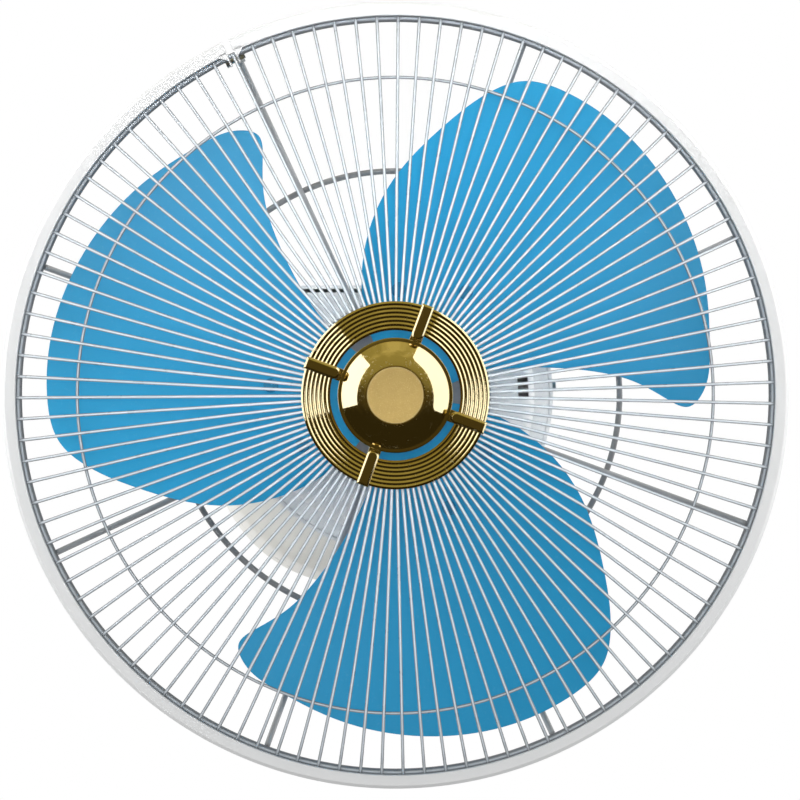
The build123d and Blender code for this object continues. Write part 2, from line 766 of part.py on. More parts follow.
boss_r = COVER_HOLE_R - 0.5
with BuildPart() as motor_front_bracket:
    with BuildSketch(side):
        with BuildLine():
            Polyline(
                (lip_in, stator_end - BRACKET_LIP),
                (lip_out, stator_end - BRACKET_LIP),
                (lip_out, 94),
                (boss_r, 103),
                (boss_r, FACE_AT),
                (SPINDLE_R + 3, FACE_AT),
                (SPINDLE_R + 3, 107),
                (pocket_r, 107),
                (pocket_r, 96),
                (pocket_r + 4, 96),
                (pocket_r + 4, 108),
                (boss_r - BRACKET_WALL, 108),
                (boss_r - BRACKET_WALL, 101.5),
                (lip_in - 3, 94),
                (lip_in - 3, stator_end),
                (lip_in, stator_end),
                close=True,
            )
        make_face()
    revolve(axis=head_axis)
    with BuildSketch(head.offset(stator_end - BRACKET_LIP)):
        with PolarLocations(THROUGH_CIRCLE_R, THROUGH_BOLTS, start_angle=45):
            Circle(5)
        Circle(STATOR_R - 2, mode=Mode.SUBTRACT)
    extrude(amount=BRACKET_LIP + 2)
    with BuildSketch(head.offset(stator_end - BRACKET_LIP)):
        Circle(lip_in)
    extrude(amount=BRACKET_LIP, mode=Mode.SUBTRACT)
    with BuildSketch(head.offset(stator_end - BRACKET_LIP)):
        with PolarLocations(THROUGH_CIRCLE_R, THROUGH_BOLTS, start_angle=45):
            Circle(2.2)
    extrude(amount=20, mode=Mode.SUBTRACT)
    with BuildSketch(head.offset(FACE_AT)):
        with PolarLocations(30, 4, start_angle=45):
            Circle(BOLT_R + SNUG)
    extrude(amount=-6, mode=Mode.SUBTRACT)

ear_front = stator_end + 2
ear_back = STATOR_AT - 2
through_bolts = group([
    screw(Plane(origin=head.from_local_coords((x, y, ear_front)), z_dir=forward),
          3.6, 2.4, 2.0, ear_front - ear_back + 4.5)
    for x, y in around(THROUGH_CIRCLE_R, THROUGH_BOLTS, 45)
])
through_nuts = group([
    nut(Plane(origin=head.from_local_coords((x, y, ear_back)), z_dir=-forward), 7, 3.2, 2.0 + SNUG)
    for x, y in around(THROUGH_CIRCLE_R, THROUGH_BOLTS, 45)
])

# Stator: a stack of laminations with open slots, and the windings that fill them
with BuildPart() as stator_core:
    with BuildSketch(head.offset(STATOR_AT)):
        Circle(STATOR_R)
        Circle(BORE_R, mode=Mode.SUBTRACT)
        with PolarLocations(SLOT_MID_R, SLOTS):
            Rectangle(SLOT_L, SLOT_W, mode=Mode.SUBTRACT)
        with PolarLocations(BORE_R + 1, SLOTS):
            Rectangle(5, 3, mode=Mode.SUBTRACT)
    extrude(amount=STATOR_L)

with BuildPart() as stator_windings:
    for foot, tip in ((STATOR_AT - 0.3, STATOR_AT - WINDING_OVERHANG),
                      (stator_end + 0.3, stator_end + WINDING_OVERHANG)):
        with BuildSketch(side):
            with Locations((SLOT_MID_R + 1, (foot + tip) / 2)):
                RectangleRounded(SLOT_L - 2, abs(tip - foot), 3)
        revolve(axis=head_axis)
    with BuildSketch(head.offset(STATOR_AT - 3)):
        with PolarLocations(SLOT_MID_R, SLOTS):
            Rectangle(SLOT_L - 1, SLOT_W - 1)
    extrude(amount=STATOR_L + 6)

# Rotor: a squirrel cage on the spindle, which runs in the two bearings
with BuildPart() as rotor_core:
    with BuildSketch(side):
        with BuildLine():
            Polyline(
                (7 + SNUG, STATOR_AT),
                (18, STATOR_AT),
                (18, STATOR_AT - 5),
                (27, STATOR_AT - 5),
                (27, STATOR_AT),
                (BORE_R - AIR_GAP, STATOR_AT),
                (BORE_R - AIR_GAP, stator_end),
                (27, stator_end),
                (27, stator_end + 5),
                (18, stator_end + 5),
                (18, stator_end),
                (7 + SNUG, stator_end),
                close=True,
            )
        make_face()
    revolve(axis=head_axis)

bearing_stations = (rear_floor, 107 - BEARING_W)
hub_back = BLADE_MID_AT - HUB_L / 2 - 2
hub_front = hub_back + HUB_L
washer_front = hub_front + 1.5
spindle_tip = washer_front + 8
with BuildPart() as motor_spindle:
    with BuildSketch(side):
        with BuildLine():
            Polyline(
                (0, rear_floor + 0.5),
                (SPINDLE_R, rear_floor + 0.5),
                (SPINDLE_R, rear_floor + BEARING_W + 0.5),
                (7, rear_floor + BEARING_W + 0.5),
                (7, 97.5),
                (SPINDLE_R, 97.5),
                (SPINDLE_R, hub_front - 1),
                (4, hub_front - 1),
                (4, spindle_tip),
                (0, spindle_tip),
                close=True,
            )
        make_face()
    revolve(axis=head_axis)
    with BuildSketch(side.offset(-20)):
        with Locations((0, hub_back + 1.5)):
            Circle(1.5 + SNUG)
    extrude(amount=40, mode=Mode.SUBTRACT)


def bearing(station):
    """Shielded ball bearing: two races with a recessed shield between."""
    shield = 0.6
    with BuildPart() as made:
        with BuildSketch(side):
            with BuildLine():
                Polyline(
                    (SPINDLE_R + RUN, station),
                    (7.2, station),
                    (7.2, station + shield),
                    (12.6, station + shield),
                    (12.6, station),
                    (BEARING_R, station),
                    (BEARING_R, station + BEARING_W),
                    (12.6, station + BEARING_W),
                    (12.6, station + BEARING_W - shield),
                    (7.2, station + BEARING_W - shield),
                    (7.2, station + BEARING_W),
                    (SPINDLE_R + RUN, station + BEARING_W),
                    close=True,
                )
            make_face()
        revolve(axis=head_axis)
    return made.part


motor_bearings = group([bearing(station) for station in bearing_stations])

# Run capacitor, held against the rear bracket by a spring strap
capacitor_in = lip_out + FIT
CAPACITOR_T = 12
CAPACITOR_W = 34
CAPACITOR_L = 20
capacitor_plane = Plane(origin=head_at(180).from_local_coords((capacitor_in, 0, STATOR_AT + 6)),
                        x_dir=head_at(180).x_dir, z_dir=forward)
with BuildPart() as capacitor:
    with BuildSketch(capacitor_plane):
        with Locations((CAPACITOR_T / 2, 0)):
            RectangleRounded(CAPACITOR_T, CAPACITOR_W, 1.5)
    extrude(amount=CAPACITOR_L)
with BuildPart() as capacitor_clip:
    with BuildSketch(capacitor_plane.offset(CAPACITOR_L / 2 - 4)):
        with Locations((CAPACITOR_T - 8.4, 0)):
            RectangleRounded(19, CAPACITOR_W + 2.2, 2.4)
        with Locations((CAPACITOR_T - 9.9, 0)):
            RectangleRounded(20, CAPACITOR_W + 0.2, 1.6, mode=Mode.SUBTRACT)
        with Locations((-6 - 4, 0)):
            Rectangle(8, CAPACITOR_W + 10, mode=Mode.SUBTRACT)
    extrude(amount=8)

# Front cover of the motor: a moulded dish with three clip windows and a notched flat top
cover_skirt_r = bowl_in - FIT
skirt_end = BOWL_RIM_AT - 10


def cover_body(wall, top):
    """Solid body of the cover, drawn in by the wall."""
    drum_r = COVER_R - wall
    face = FACE_AT - wall
    bend = FACE_AT - COVER_SHOULDER
    with BuildPart() as made:
        with BuildSketch(side):
            with BuildLine():
                Polyline((0, face), (COVER_R - COVER_SHOULDER, face))
                TangentArc((COVER_R - COVER_SHOULDER, face), (drum_r, bend), tangent=(1, 0))
                Polyline(
                    (drum_r, bend),
                    (drum_r, BOWL_RIM_AT - wall),
                    (cover_skirt_r - wall, BOWL_RIM_AT - wall),
                    (cover_skirt_r - wall, skirt_end),
                    (0, skirt_end),
                    (0, face),
                )
            make_face()
        revolve(axis=head_axis)
    return flat_topped(made, top)


with BuildPart() as motor_front_cover:
    add(cover_body(0, COVER_FLAT))
    add(cover_body(COVER_WALL, COVER_FLAT - COVER_WALL), mode=Mode.SUBTRACT)
    with BuildSketch(head.offset(FACE_AT + 1)):
        Circle(COVER_HOLE_R)
        for angle in COVER_SCREW_ANGLES:
            with Locations(polar(WINDOW_R, angle)):
                Rectangle(6, 12, rotation=angle)
        with Locations((NOTCH_X, COVER_FLAT)):
            Rectangle(12, 4.2)
    extrude(amount=-5, mode=Mode.SUBTRACT)
    for angle in COVER_SCREW_ANGLES:
        with BuildSketch(side_at(angle + 90)):
            with Locations((0, COVER_SCREW_AT)):
                Circle(2.05)
        extrude(amount=BOWL_R + 1, mode=Mode.SUBTRACT)

cover_screws = group([
    screw(Plane(origin=head_at(angle).from_local_coords((BOWL_R + 0.1, 0, COVER_SCREW_AT)),
                z_dir=seen_at(angle)), 3.6, 2.0, 2.0, 6.5)
    for angle in COVER_SCREW_ANGLES
])

# Rear guard: a centre plate, eight stout spokes that lie on it, and the two rings they carry
def half_flat(diameter):
    """Half the thickness of a six-sided wire across its flats."""
    return diameter / 2 * cos(radians(30))


guard_face = FACE_AT + GUARD_PLATE_T
spoke_seat = guard_face + half_flat(SPOKE_D)
spoke_route = (
    (38, spoke_seat),
    (90, spoke_seat),
    (150, 115),
    (196, 119),
    (210, 137),
    (REAR_RING_R - SPOKE_D / 2 - SPOKE_END_GAP, REAR_RING_AT),
)


def bent_wire(route, diameter, angle=0):
    """Six-sided wire along a route of radius and station, mitred at its bends."""
    plane = side_at(angle)
    first, second = route[0], route[1]
    start = plane.from_local_coords((*first, 0))
    along = plane.from_local_coords((*second, 0)) - start
    with BuildPart() as made:
        with BuildLine(plane):
            Polyline(*route)
        with BuildSketch(Plane(origin=start, x_dir=plane.z_dir, z_dir=along)):
            RegularPolygon(diameter / 2, 6)
        sweep(transition=Transition.RIGHT)
    return made.part


def route_at(route, radius):
    """Station of a route at a radius."""
    for (r0, s0), (r1, s1) in zip(route, route[1:]):
        if r0 <= radius <= r1:
            return s0 + (s1 - s0) * (radius - r0) / (r1 - r0)
    return route[-1][1]


rear_guard_spokes = group([
    bent_wire(spoke_route, SPOKE_D, SPOKE_START + 360 / SPOKES * i) for i in range(SPOKES)
])
with BuildPart() as rear_guard_plate:
    with BuildSketch(head.offset(FACE_AT)):
        Circle(PLATE_SEAT_R)
        Circle(HUB_R, mode=Mode.SUBTRACT)
        with PolarLocations(30, 4, start_angle=45):
            Circle(BOLT_HOLE_R, mode=Mode.SUBTRACT)
    extrude(amount=GUARD_PLATE_T)

rear_mid_at = route_at(spoke_route, REAR_MID_R) - 2 * half_flat(SPOKE_D) - RING_GAP


def wire_ring(radius, station):
    """Closed ring of the spokes' own wire round the head."""
    with BuildPart() as made:
        with BuildSketch(side):
            with Locations((radius, station)):
                RegularPolygon(SPOKE_D / 2, 6)
        revolve(axis=head_axis)
    return made.part


rear_guard_rings = group([wire_ring(REAR_RING_R, REAR_RING_AT), wire_ring(REAR_MID_R, rear_mid_at)])

rear_guard_screws = group([
    screw(Plane(origin=head.from_local_coords((x, y, guard_face)), z_dir=forward),
          4.5, 3, BOLT_R, GUARD_PLATE_T + 5)
    for x, y in around(30, 4, 45)
])

# Front guard: many fine wires over a centre plate, a middle ring and an outer ring
wire_route = (
    (48.5, GUARD_FRONT_AT),
    (178, GUARD_FRONT_AT - 6),
    (206, GUARD_FRONT_AT - 20),
    (FRONT_RING_R + 0.2, FRONT_RING_AT + 1.2),
)
plate_top = GUARD_FRONT_AT - half_flat(WIRE_D) + WELD
mid_ring_at = route_at(wire_route, MID_RING_R) - half_flat(WIRE_D) - half_flat(MID_RING_D) + WELD
one_wire = bent_wire(wire_route, WIRE_D, WIRE_START)
wires = [one_wire.rotate(head_axis, 360 / WIRES * i) for i in range(WIRES)]
with BuildPart() as front_guard:
    with BuildSketch(head.offset(plate_top)):
        Circle(CENTRE_PLATE_OUT)
        Circle(CENTRE_PLATE_IN, mode=Mode.SUBTRACT)
        with PolarLocations(STRAP_SCREW_R, STRAPS, start_angle=STRAP_ANGLE):
            Circle(1.6, mode=Mode.SUBTRACT)
    extrude(amount=-CENTRE_PLATE_T)
    with BuildSketch(side):
        with Locations((FRONT_RING_R, FRONT_RING_AT)):
            RegularPolygon(FRONT_RING_D / 2, 6)
        with Locations((MID_RING_R, mid_ring_at)):
            RegularPolygon(MID_RING_D / 2, 6)
    revolve(axis=head_axis)
    add(wires)

# Rim: a moulded band round both outer rings, split at one place and drawn together
gap_frame = head_at(RIM_GAP_ANGLE)
tab_mid = (FRONT_RING_AT + REAR_RING_AT) / 2 + 0.15
with BuildPart() as guard_rim:
    with BuildSketch(side):
        with BuildLine():
            Polyline(
                (RIM_R, RIM_REAR),
                (RIM_R, RIM_FRONT - 2),
                (RIM_R - 2, RIM_FRONT),
                (FRONT_RING_R + 1, RIM_FRONT),
                (FRONT_RING_R + 1, RIM_FRONT - 2.4),
                (FRONT_RING_R + 1.8, RIM_FRONT - 3.2),
                (FRONT_RING_R + 1.8, RIM_FRONT - 7.4),
                (FRONT_RING_R + 1.1, RIM_FRONT - 8.2),
                (FRONT_RING_R + 1.1, RIM_FRONT - 11),
                (FRONT_RING_R + 1.4, RIM_FRONT - 11.8),
                (FRONT_RING_R + 1.4, RIM_REAR + RIM_WALL),
                (REAR_RING_R + 0.6, RIM_REAR + RIM_WALL),
                (REAR_RING_R + 0.6, RIM_REAR),
                (RIM_R - 5.1, RIM_REAR),
                (RIM_R - 5.1, RIM_FRONT - RIM_WALL),
                (RIM_R - RIM_WALL, RIM_FRONT - RIM_WALL),
                (RIM_R - RIM_WALL, RIM_REAR),
                close=True,
            )
        make_face()
    revolve(axis=head_axis)
    with BuildSketch(gap_frame.offset(RIM_REAR - 2)):
        with Locations((RIM_R - 6, 0)):
            Rectangle(20, RIM_GAP)
    extrude(amount=RIM_FRONT - RIM_REAR + 4, mode=Mode.SUBTRACT)
    with BuildSketch(gap_frame.offset(RIM_FRONT - 1.2)):
        for facing in (1, -1):
            Polygon(
                (FRONT_RING_R + 2, facing * RIM_GAP / 2),
                (FRONT_RING_R - 4, facing * (RIM_GAP / 2 + 0.2)),
                (FRONT_RING_R + 1.2, facing * (RIM_GAP / 2 + 6.5)),
                (FRONT_RING_R + 2, facing * (RIM_GAP / 2 + 6.5)),
                align=None,
            )
    extrude(amount=1.2)
    with BuildSketch(gap_frame.offset(tab_mid - 2.7)):
        for facing in (1, -1):
            with Locations((FRONT_RING_R - 1.7, facing * (RIM_GAP / 2 + 0.7))):
                Rectangle(8, 1.4)
    extrude(amount=5.4)
    screw_line = Plane(origin=gap_frame.from_local_coords((FRONT_RING_R - 3.2, 0, tab_mid)),
                       x_dir=gap_frame.x_dir, z_dir=gap_frame.y_dir)
    with BuildSketch(screw_line.offset(-6)):
        Circle(1.65)
    extrude(amount=12, mode=Mode.SUBTRACT)

tab_out = RIM_GAP / 2 + 1.4
rim_screw = group([screw(screw_line.offset(tab_out), 2.5, 1.8, 1.5, 2 * tab_out + 3.4)])
rim_nut = group([nut(
    Plane(origin=screw_line.offset(-tab_out).origin, x_dir=forward, z_dir=-screw_line.z_dir),
    5.4, 2.4, 1.5 + SNUG)])

# Gold ring: concentric ridges, its back stepped over the ends of the wires
ring_seat = plate_top + THRUST
over_wires = GUARD_FRONT_AT + WIRE_D / 2 + 0.2
ridge_pitch = (GOLD_R - GOLD_IN) / RIDGES
ridge_line = []
for ridge in range(RIDGES):
    foot = GOLD_IN + ridge_pitch * ridge
    ridge_line += [
        (foot + 0.1, RING_TOP),
        (foot + 0.7, RING_TOP + RIDGE_H),
        (foot + ridge_pitch - 0.7, RING_TOP + RIDGE_H),
        (foot + ridge_pitch - 0.1, RING_TOP),
    ]
with BuildPart() as gold_ring:
    with BuildSketch(side):
        with BuildLine():
            Polyline(
                (GOLD_IN, ring_seat),
                (GOLD_IN, RING_TOP),
                *ridge_line,
                (GOLD_R, RING_TOP),
                (GOLD_R, over_wires),
                (48, over_wires),
                (48, ring_seat),
                close=True,
            )
        make_face()
    revolve(axis=head_axis)
    with BuildSketch(head.offset(ring_seat - 1)):
        with PolarLocations(STRAP_SCREW_R, STRAPS, start_angle=STRAP_ANGLE):
            Circle(1.6)
    extrude(amount=8, mode=Mode.SUBTRACT)

# Straps: bevelled bars across the ring, each with a tongue under the dome
strap_seat = RING_TOP + RIDGE_H + THRUST
strap_top = strap_seat + STRAP_H
strap_in = DOME_R + 0.4
tongue_top = RING_TOP + 0.2
tongue_back = ring_seat + 1.5


def strap(angle):
    with BuildPart() as made:
        with BuildSketch(side_at(angle).offset(-STRAP_W / 2)):
            with BuildLine():
                Polyline(
                    (24, tongue_back),
                    (GOLD_IN - 0.3, tongue_back),
                    (GOLD_IN - 0.3, strap_seat),
                    (STRAP_OUT, strap_seat),
                    (STRAP_OUT, strap_top),
                    (strap_in, strap_top),
                    (strap_in, tongue_top),
                    (24, tongue_top),
                    close=True,
                )
            make_face()
        extrude(amount=STRAP_W)
        chamfer(made.edges().group_by(Axis(head.origin, forward))[-1], 1.3)
        with BuildSketch(head_at(angle).offset(strap_seat)):
            with Locations((STRAP_SCREW_R, 0)):
                Circle(1.5)
        extrude(amount=STRAP_H - 1.2, mode=Mode.SUBTRACT)
    return made.part


strap_angles = [STRAP_ANGLE + 360 / STRAPS * i for i in range(STRAPS)]
gold_straps = group([strap(angle) for angle in strap_angles])
strap_screws = group([
    screw(Plane(origin=head_at(angle).from_local_coords(
        (STRAP_SCREW_R, 0, plate_top - CENTRE_PLATE_T)), z_dir=-forward),
        3, 2, 1.45, strap_seat + STRAP_H - 1.6 - plate_top + CENTRE_PLATE_T)
    for angle in strap_angles
])

# Dome: a spun shell with a flat rim, resting on the tongues
dome_top = tongue_top + DOME_H
with BuildPart() as gold_dome:
    with BuildSketch(side):
        with BuildLine():
            Polyline(
                (DOME_R - 3.8, tongue_top),
                (DOME_R, tongue_top),
                (DOME_R, tongue_top + 1.4),
                (DOME_R - 2.3, tongue_top + 1.4),
            )
            ThreePointArc((DOME_R - 2.3, tongue_top + 1.4), (25.5, tongue_top + 7.2),
                          (BADGE_R + 0.6, dome_top))
            Polyline(
                (BADGE_R + 0.6, dome_top),
                (BADGE_R + 0.1, dome_top),
                (BADGE_R + 0.1, dome_top - BADGE_T),
                (0, dome_top - BADGE_T),
                (0, dome_top - BADGE_T - DOME_WALL),
                (BADGE_R, dome_top - BADGE_T - DOME_WALL),
            )
            ThreePointArc((BADGE_R, dome_top - BADGE_T - DOME_WALL), (24.3, tongue_top + 6.2),
                          (DOME_R - 3.8, tongue_top))
        make_face()
    revolve(axis=head_axis)

with BuildPart() as centre_badge:
    with BuildSketch(head.offset(dome_top - BADGE_T)):
        Circle(BADGE_R)
    extrude(amount=BADGE_T)


# Blades
def slope(x):
    """Rise across the blade per millimetre, at a distance along its middle line."""
    return ROOT_SLOPE + (TIP_SLOPE - ROOT_SLOPE) * (x - SLOPE_FROM) / (SLOPE_TO - SLOPE_FROM)


def blade_station(x, v):
    """Middle of the sheet at a place along and across the blade."""
    return BLADE_MID_AT + slope(x) * v + v * v / (2 * HOLLOW)


def on_blade(angle, x, v, lift):
    """Plane square to the blade's sheet at a place, lifted along its normal."""
    frame = head_at(angle)
    along = slope(1) - slope(0)
    normal = frame.x_dir * (-along * v) + frame.y_dir * -(slope(x) + v / HOLLOW) + forward
    normal = normal.normalized()
    place = frame.from_local_coords((x, v, blade_station(x, v)))
    return Plane(origin=place + normal * lift, z_dir=normal)


def blade_section(frame, x, half, back, front):
    """Slice of the sheet across the blade: a parabola given its thickness."""
    slice_plane = Plane(origin=frame.from_local_coords((x, 0, 0)), x_dir=frame.y_dir, z_dir=frame.x_dir)
    low, high = blade_station(x, -half), blade_station(x, half)
    middle = low + (slope(x) - half / HOLLOW) * half
    with BuildSketch(slice_plane) as made:
        with BuildLine():
            Bezier((-half, low + back), (0, middle + back), (half, high + back))
            Line((half, high + back), (half, high + front))
            Bezier((half, high + front), (0, middle + front), (-half, low + front))
            Line((-half, low + front), (-half, low + back))
        make_face()
    return made.sketch


def rivet_planes(angle, lift):
    return [on_blade(angle, *polar(*place), lift) for place in RIVETS]


blade_angles = [BLADE_ANGLE + 360 / BLADES * i for i in range(BLADES)]
blades = []
arms = []
for angle in blade_angles:
    frame = head_at(angle)
    sheet = loft([blade_section(frame, x, 150, -BLADE_T / 2, BLADE_T / 2) for x in (5, 205)],
                 ruled=True)
    with BuildPart() as blade:
        add(sheet)
        with BuildSketch(frame.offset(60)):
            with BuildLine():
                Spline(*[polar(*place) for place in BLADE_EDGE])
                ThreePointArc(polar(*BLADE_EDGE[-1]), polar(BLADE_ROOT_R, 8), polar(*BLADE_EDGE[0]))
            make_face()
        extrude(amount=200, mode=Mode.INTERSECT)
        for plane in rivet_planes(angle, -10):
            with BuildSketch(plane):
                Circle(RIVET_R + 0.1)
            extrude(amount=20, mode=Mode.SUBTRACT)
    blades.append(blade)
    arm_front = -BLADE_T / 2 - RUN
    arm_sheet = loft([blade_section(frame, x, 90, arm_front - ARM_T, arm_front) for x in (-16, 100)],
                     ruled=True)
    with BuildPart() as arm:
        add(arm_sheet)
        with BuildSketch(frame.offset(60)):
            Circle(HUB_R - 3)
            with Locations(*[polar(*place) for place in RIVETS]):
                Circle(9)
            make_hull()
        extrude(amount=200, mode=Mode.INTERSECT)
        for plane in rivet_planes(angle, -10):
            with BuildSketch(plane):
                Circle(RIVET_R + 0.1)
            extrude(amount=20, mode=Mode.SUBTRACT)
    arms.append(arm.part)

with BuildPart() as blade_spider:
    with BuildSketch(head.offset(hub_back)):
        Circle(HUB_R)
    extrude(amount=HUB_L)
    add(arms)
    with BuildSketch(head.offset(hub_back)):
        Circle(SPINDLE_R + SNUG)
    extrude(amount=HUB_L, mode=Mode.SUBTRACT)
    with BuildSketch(side.offset(-HUB_R - 1)):
        with Locations((0, hub_back + 1.5)):
            Rectangle(3.2, 3.2)
    extrude(amount=2 * HUB_R + 2, mode=Mode.SUBTRACT)

with BuildPart() as drive_pin:
    with BuildSketch(side.offset(-HUB_R + 2)):
        with Locations((0, hub_back + 1.5)):
            Circle(1.5)
    extrude(amount=2 * HUB_R - 4)


def rivet(plane):
    """Rivet through blade and arm, its origin on the blade's front face."""
    grip = BLADE_T + ARM_T + 2 * RUN + 0.05
    with BuildPart() as made:
        with BuildSketch(plane):
            Circle(RIVET_HEAD_R)
        extrude(amount=RIVET_HEAD_H)
        fillet(made.edges().group_by(Axis(plane.origin, plane.z_dir))[-1], 0.9)
        with BuildSketch(plane):
            Circle(RIVET_R)
        extrude(amount=-grip)
        with BuildSketch(plane.offset(-grip)):
            Circle(RIVET_HEAD_R - 0.4)
        extrude(amount=-RIVET_HEAD_H)
    return made.part


rivet_lift = BLADE_T / 2 + 0.05
blade_rivets = group([rivet(plane) for angle in blade_angles for plane in rivet_planes(angle, rivet_lift)])

with BuildPart() as blade_washer:
    with BuildSketch(head.offset(hub_front)):
        Circle(10)
        Circle(4 + SNUG, mode=Mode.SUBTRACT)
    extrude(amount=1.5)

with BuildPart() as blade_nut:
    with BuildSketch(head.offset(washer_front)):
        RegularPolygon(6.5, 6, major_radius=False)
    extrude(amount=6)
    with BuildSketch(side):
        with BuildLine():
            Line((0, washer_front + 6), (5.6, washer_front + 6))
            CenterArc((0, washer_front + 6), 5.6, 0, 90)
            Line((0, washer_front + 11.6), (0, washer_front + 6))
        make_face()
    revolve(axis=head_axis)
    with BuildSketch(head.offset(washer_front)):
        Circle(4 + SNUG)
    extrude(amount=8.5, mode=Mode.SUBTRACT)

pieces = {
    "ceiling_plate": ceiling_plate,
    "canopy": canopy,
    "canopy_screws": canopy_screws,
    "ceiling_shaft": ceiling_shaft,
    "flange_bolts": flange_bolts,
    "flange_nuts": flange_nuts,
    "fixed_gear": fixed_gear,
    "gear_grub_screws": gear_grub_screws,
    "thrust_washer": thrust_washer,
    "shaft_nut": shaft_nut,
    "orbit_case": orbit_case,
    "orbit_case_lid": orbit_case_lid,
    "lid_screws": lid_screws,
    "orbit_bush": orbit_bush,
    "orbit_motor": orbit_motor,
    "orbit_motor_screws": orbit_motor_screws,
    "orbit_pinion": orbit_pinion,
    "pinion_shaft": pinion_shaft,
    "tilt_fork": tilt_fork,
    "fork_screws": fork_screws,
    "tilt_bolt": tilt_bolt,
    "tilt_washer": tilt_washer,
    "tilt_knob": tilt_knob,
    "motor_neck": motor_neck,
    "neck_screws": neck_screws,
    "motor_rear_cover": motor_rear_cover,
    "motor_rear_bracket": motor_rear_bracket,
    "motor_front_bracket": motor_front_bracket,
    "through_bolts": through_bolts,
    "through_nuts": through_nuts,
    "stator_core": stator_core,
    "stator_windings": stator_windings,
    "motor_bearings": motor_bearings,
    "capacitor": capacitor,
    "capacitor_clip": capacitor_clip,
    "motor_front_cover": motor_front_cover,
    "cover_screws": cover_screws,
    "rear_guard_plate": rear_guard_plate,
    "rear_guard_spokes": rear_guard_spokes,
    "rear_guard_rings": rear_guard_rings,
    "rear_guard_screws": rear_guard_screws,
    "front_guard": front_guard,
    "guard_rim": guard_rim,
    "rim_screw": rim_screw,
    "rim_nut": rim_nut,
    "gold_ring": gold_ring,
    "gold_straps": gold_straps,
    "strap_screws": strap_screws,
    "gold_dome": gold_dome,
    "centre_badge": centre_badge,
    "rotor_core": rotor_core,
    "motor_spindle": motor_spindle,
    "blade_spider": blade_spider,
    "drive_pin": drive_pin,
    "blade_1": blades[0],
    "blade_2": blades[1],
    "blade_3": blades[2],
    "blade_rivets": blade_rivets,
    "blade_washer": blade_washer,
    "blade_nut": blade_nut,
}
os.makedirs("parts", exist_ok=True)
for name, piece in pieces.items():
    piece.part.label = name
    export_step(piece.part, f"parts/{name}.step")
print(len(pieces), "pieces")
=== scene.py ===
import json
from math import asin, cos, pi, radians, sin, tan

import bmesh
import bpy
from mathutils import Matrix, Vector

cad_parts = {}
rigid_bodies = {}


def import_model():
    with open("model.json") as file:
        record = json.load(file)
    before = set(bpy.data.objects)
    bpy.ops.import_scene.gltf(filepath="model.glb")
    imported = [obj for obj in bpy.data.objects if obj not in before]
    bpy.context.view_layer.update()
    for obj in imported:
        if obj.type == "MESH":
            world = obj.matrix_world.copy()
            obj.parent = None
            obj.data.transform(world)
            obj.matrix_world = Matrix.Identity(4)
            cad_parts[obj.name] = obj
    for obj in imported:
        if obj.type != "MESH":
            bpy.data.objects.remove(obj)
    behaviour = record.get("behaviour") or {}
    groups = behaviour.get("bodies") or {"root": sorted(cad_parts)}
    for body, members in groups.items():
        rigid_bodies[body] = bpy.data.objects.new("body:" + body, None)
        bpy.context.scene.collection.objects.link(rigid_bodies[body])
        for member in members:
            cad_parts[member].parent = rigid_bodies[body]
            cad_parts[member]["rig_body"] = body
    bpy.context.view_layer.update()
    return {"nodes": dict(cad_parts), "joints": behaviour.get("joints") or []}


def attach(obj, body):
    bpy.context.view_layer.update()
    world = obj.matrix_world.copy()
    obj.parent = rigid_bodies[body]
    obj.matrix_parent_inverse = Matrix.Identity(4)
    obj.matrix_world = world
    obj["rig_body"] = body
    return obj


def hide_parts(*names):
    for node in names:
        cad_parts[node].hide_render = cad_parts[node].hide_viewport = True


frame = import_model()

# The view. The camera stands on the head's own axis, 1.5 m in front of the blades, as the
# photograph was taken. Places on the head are given to its right, up and forward, seen
# by that viewer, with the tilt bolt as zero.
spin_joint = next(joint for joint in frame["joints"] if joint["name"] == "rotor_spin")
pivot = Vector(spin_joint["pos_m"])
forward = Vector(spin_joint["axis"]).normalized()
CANOPY_SIDE = radians(229)
BLADES_AT = 0.147
CAMERA_DISTANCE = 1.5
SENSOR_WIDTH = 36
VIEW_WIDTH = 0.4587
CENTRE_OFF = 4.7 / 800

toward_canopy = forward.cross(Vector((1, 0, 0)))
right = toward_canopy * cos(CANOPY_SIDE) + Vector((1, 0, 0)) * sin(CANOPY_SIDE)
up = forward.cross(right)
HEAD = Matrix((right, up, forward)).transposed().to_4x4()
HEAD.translation = pivot

scene = bpy.context.scene
camera_data = bpy.data.cameras.new("camera")
camera_data.sensor_width = SENSOR_WIDTH
camera_data.lens = SENSOR_WIDTH * CAMERA_DISTANCE / VIEW_WIDTH
camera_data.shift_x = CENTRE_OFF
camera_data.shift_y = -CENTRE_OFF
camera = bpy.data.objects.new("camera", camera_data)
camera.matrix_world = HEAD @ Matrix.Translation((0, 0, BLADES_AT + CAMERA_DISTANCE))
scene.collection.objects.link(camera)
scene.camera = camera
scene.view_settings.view_transform = "Standard"


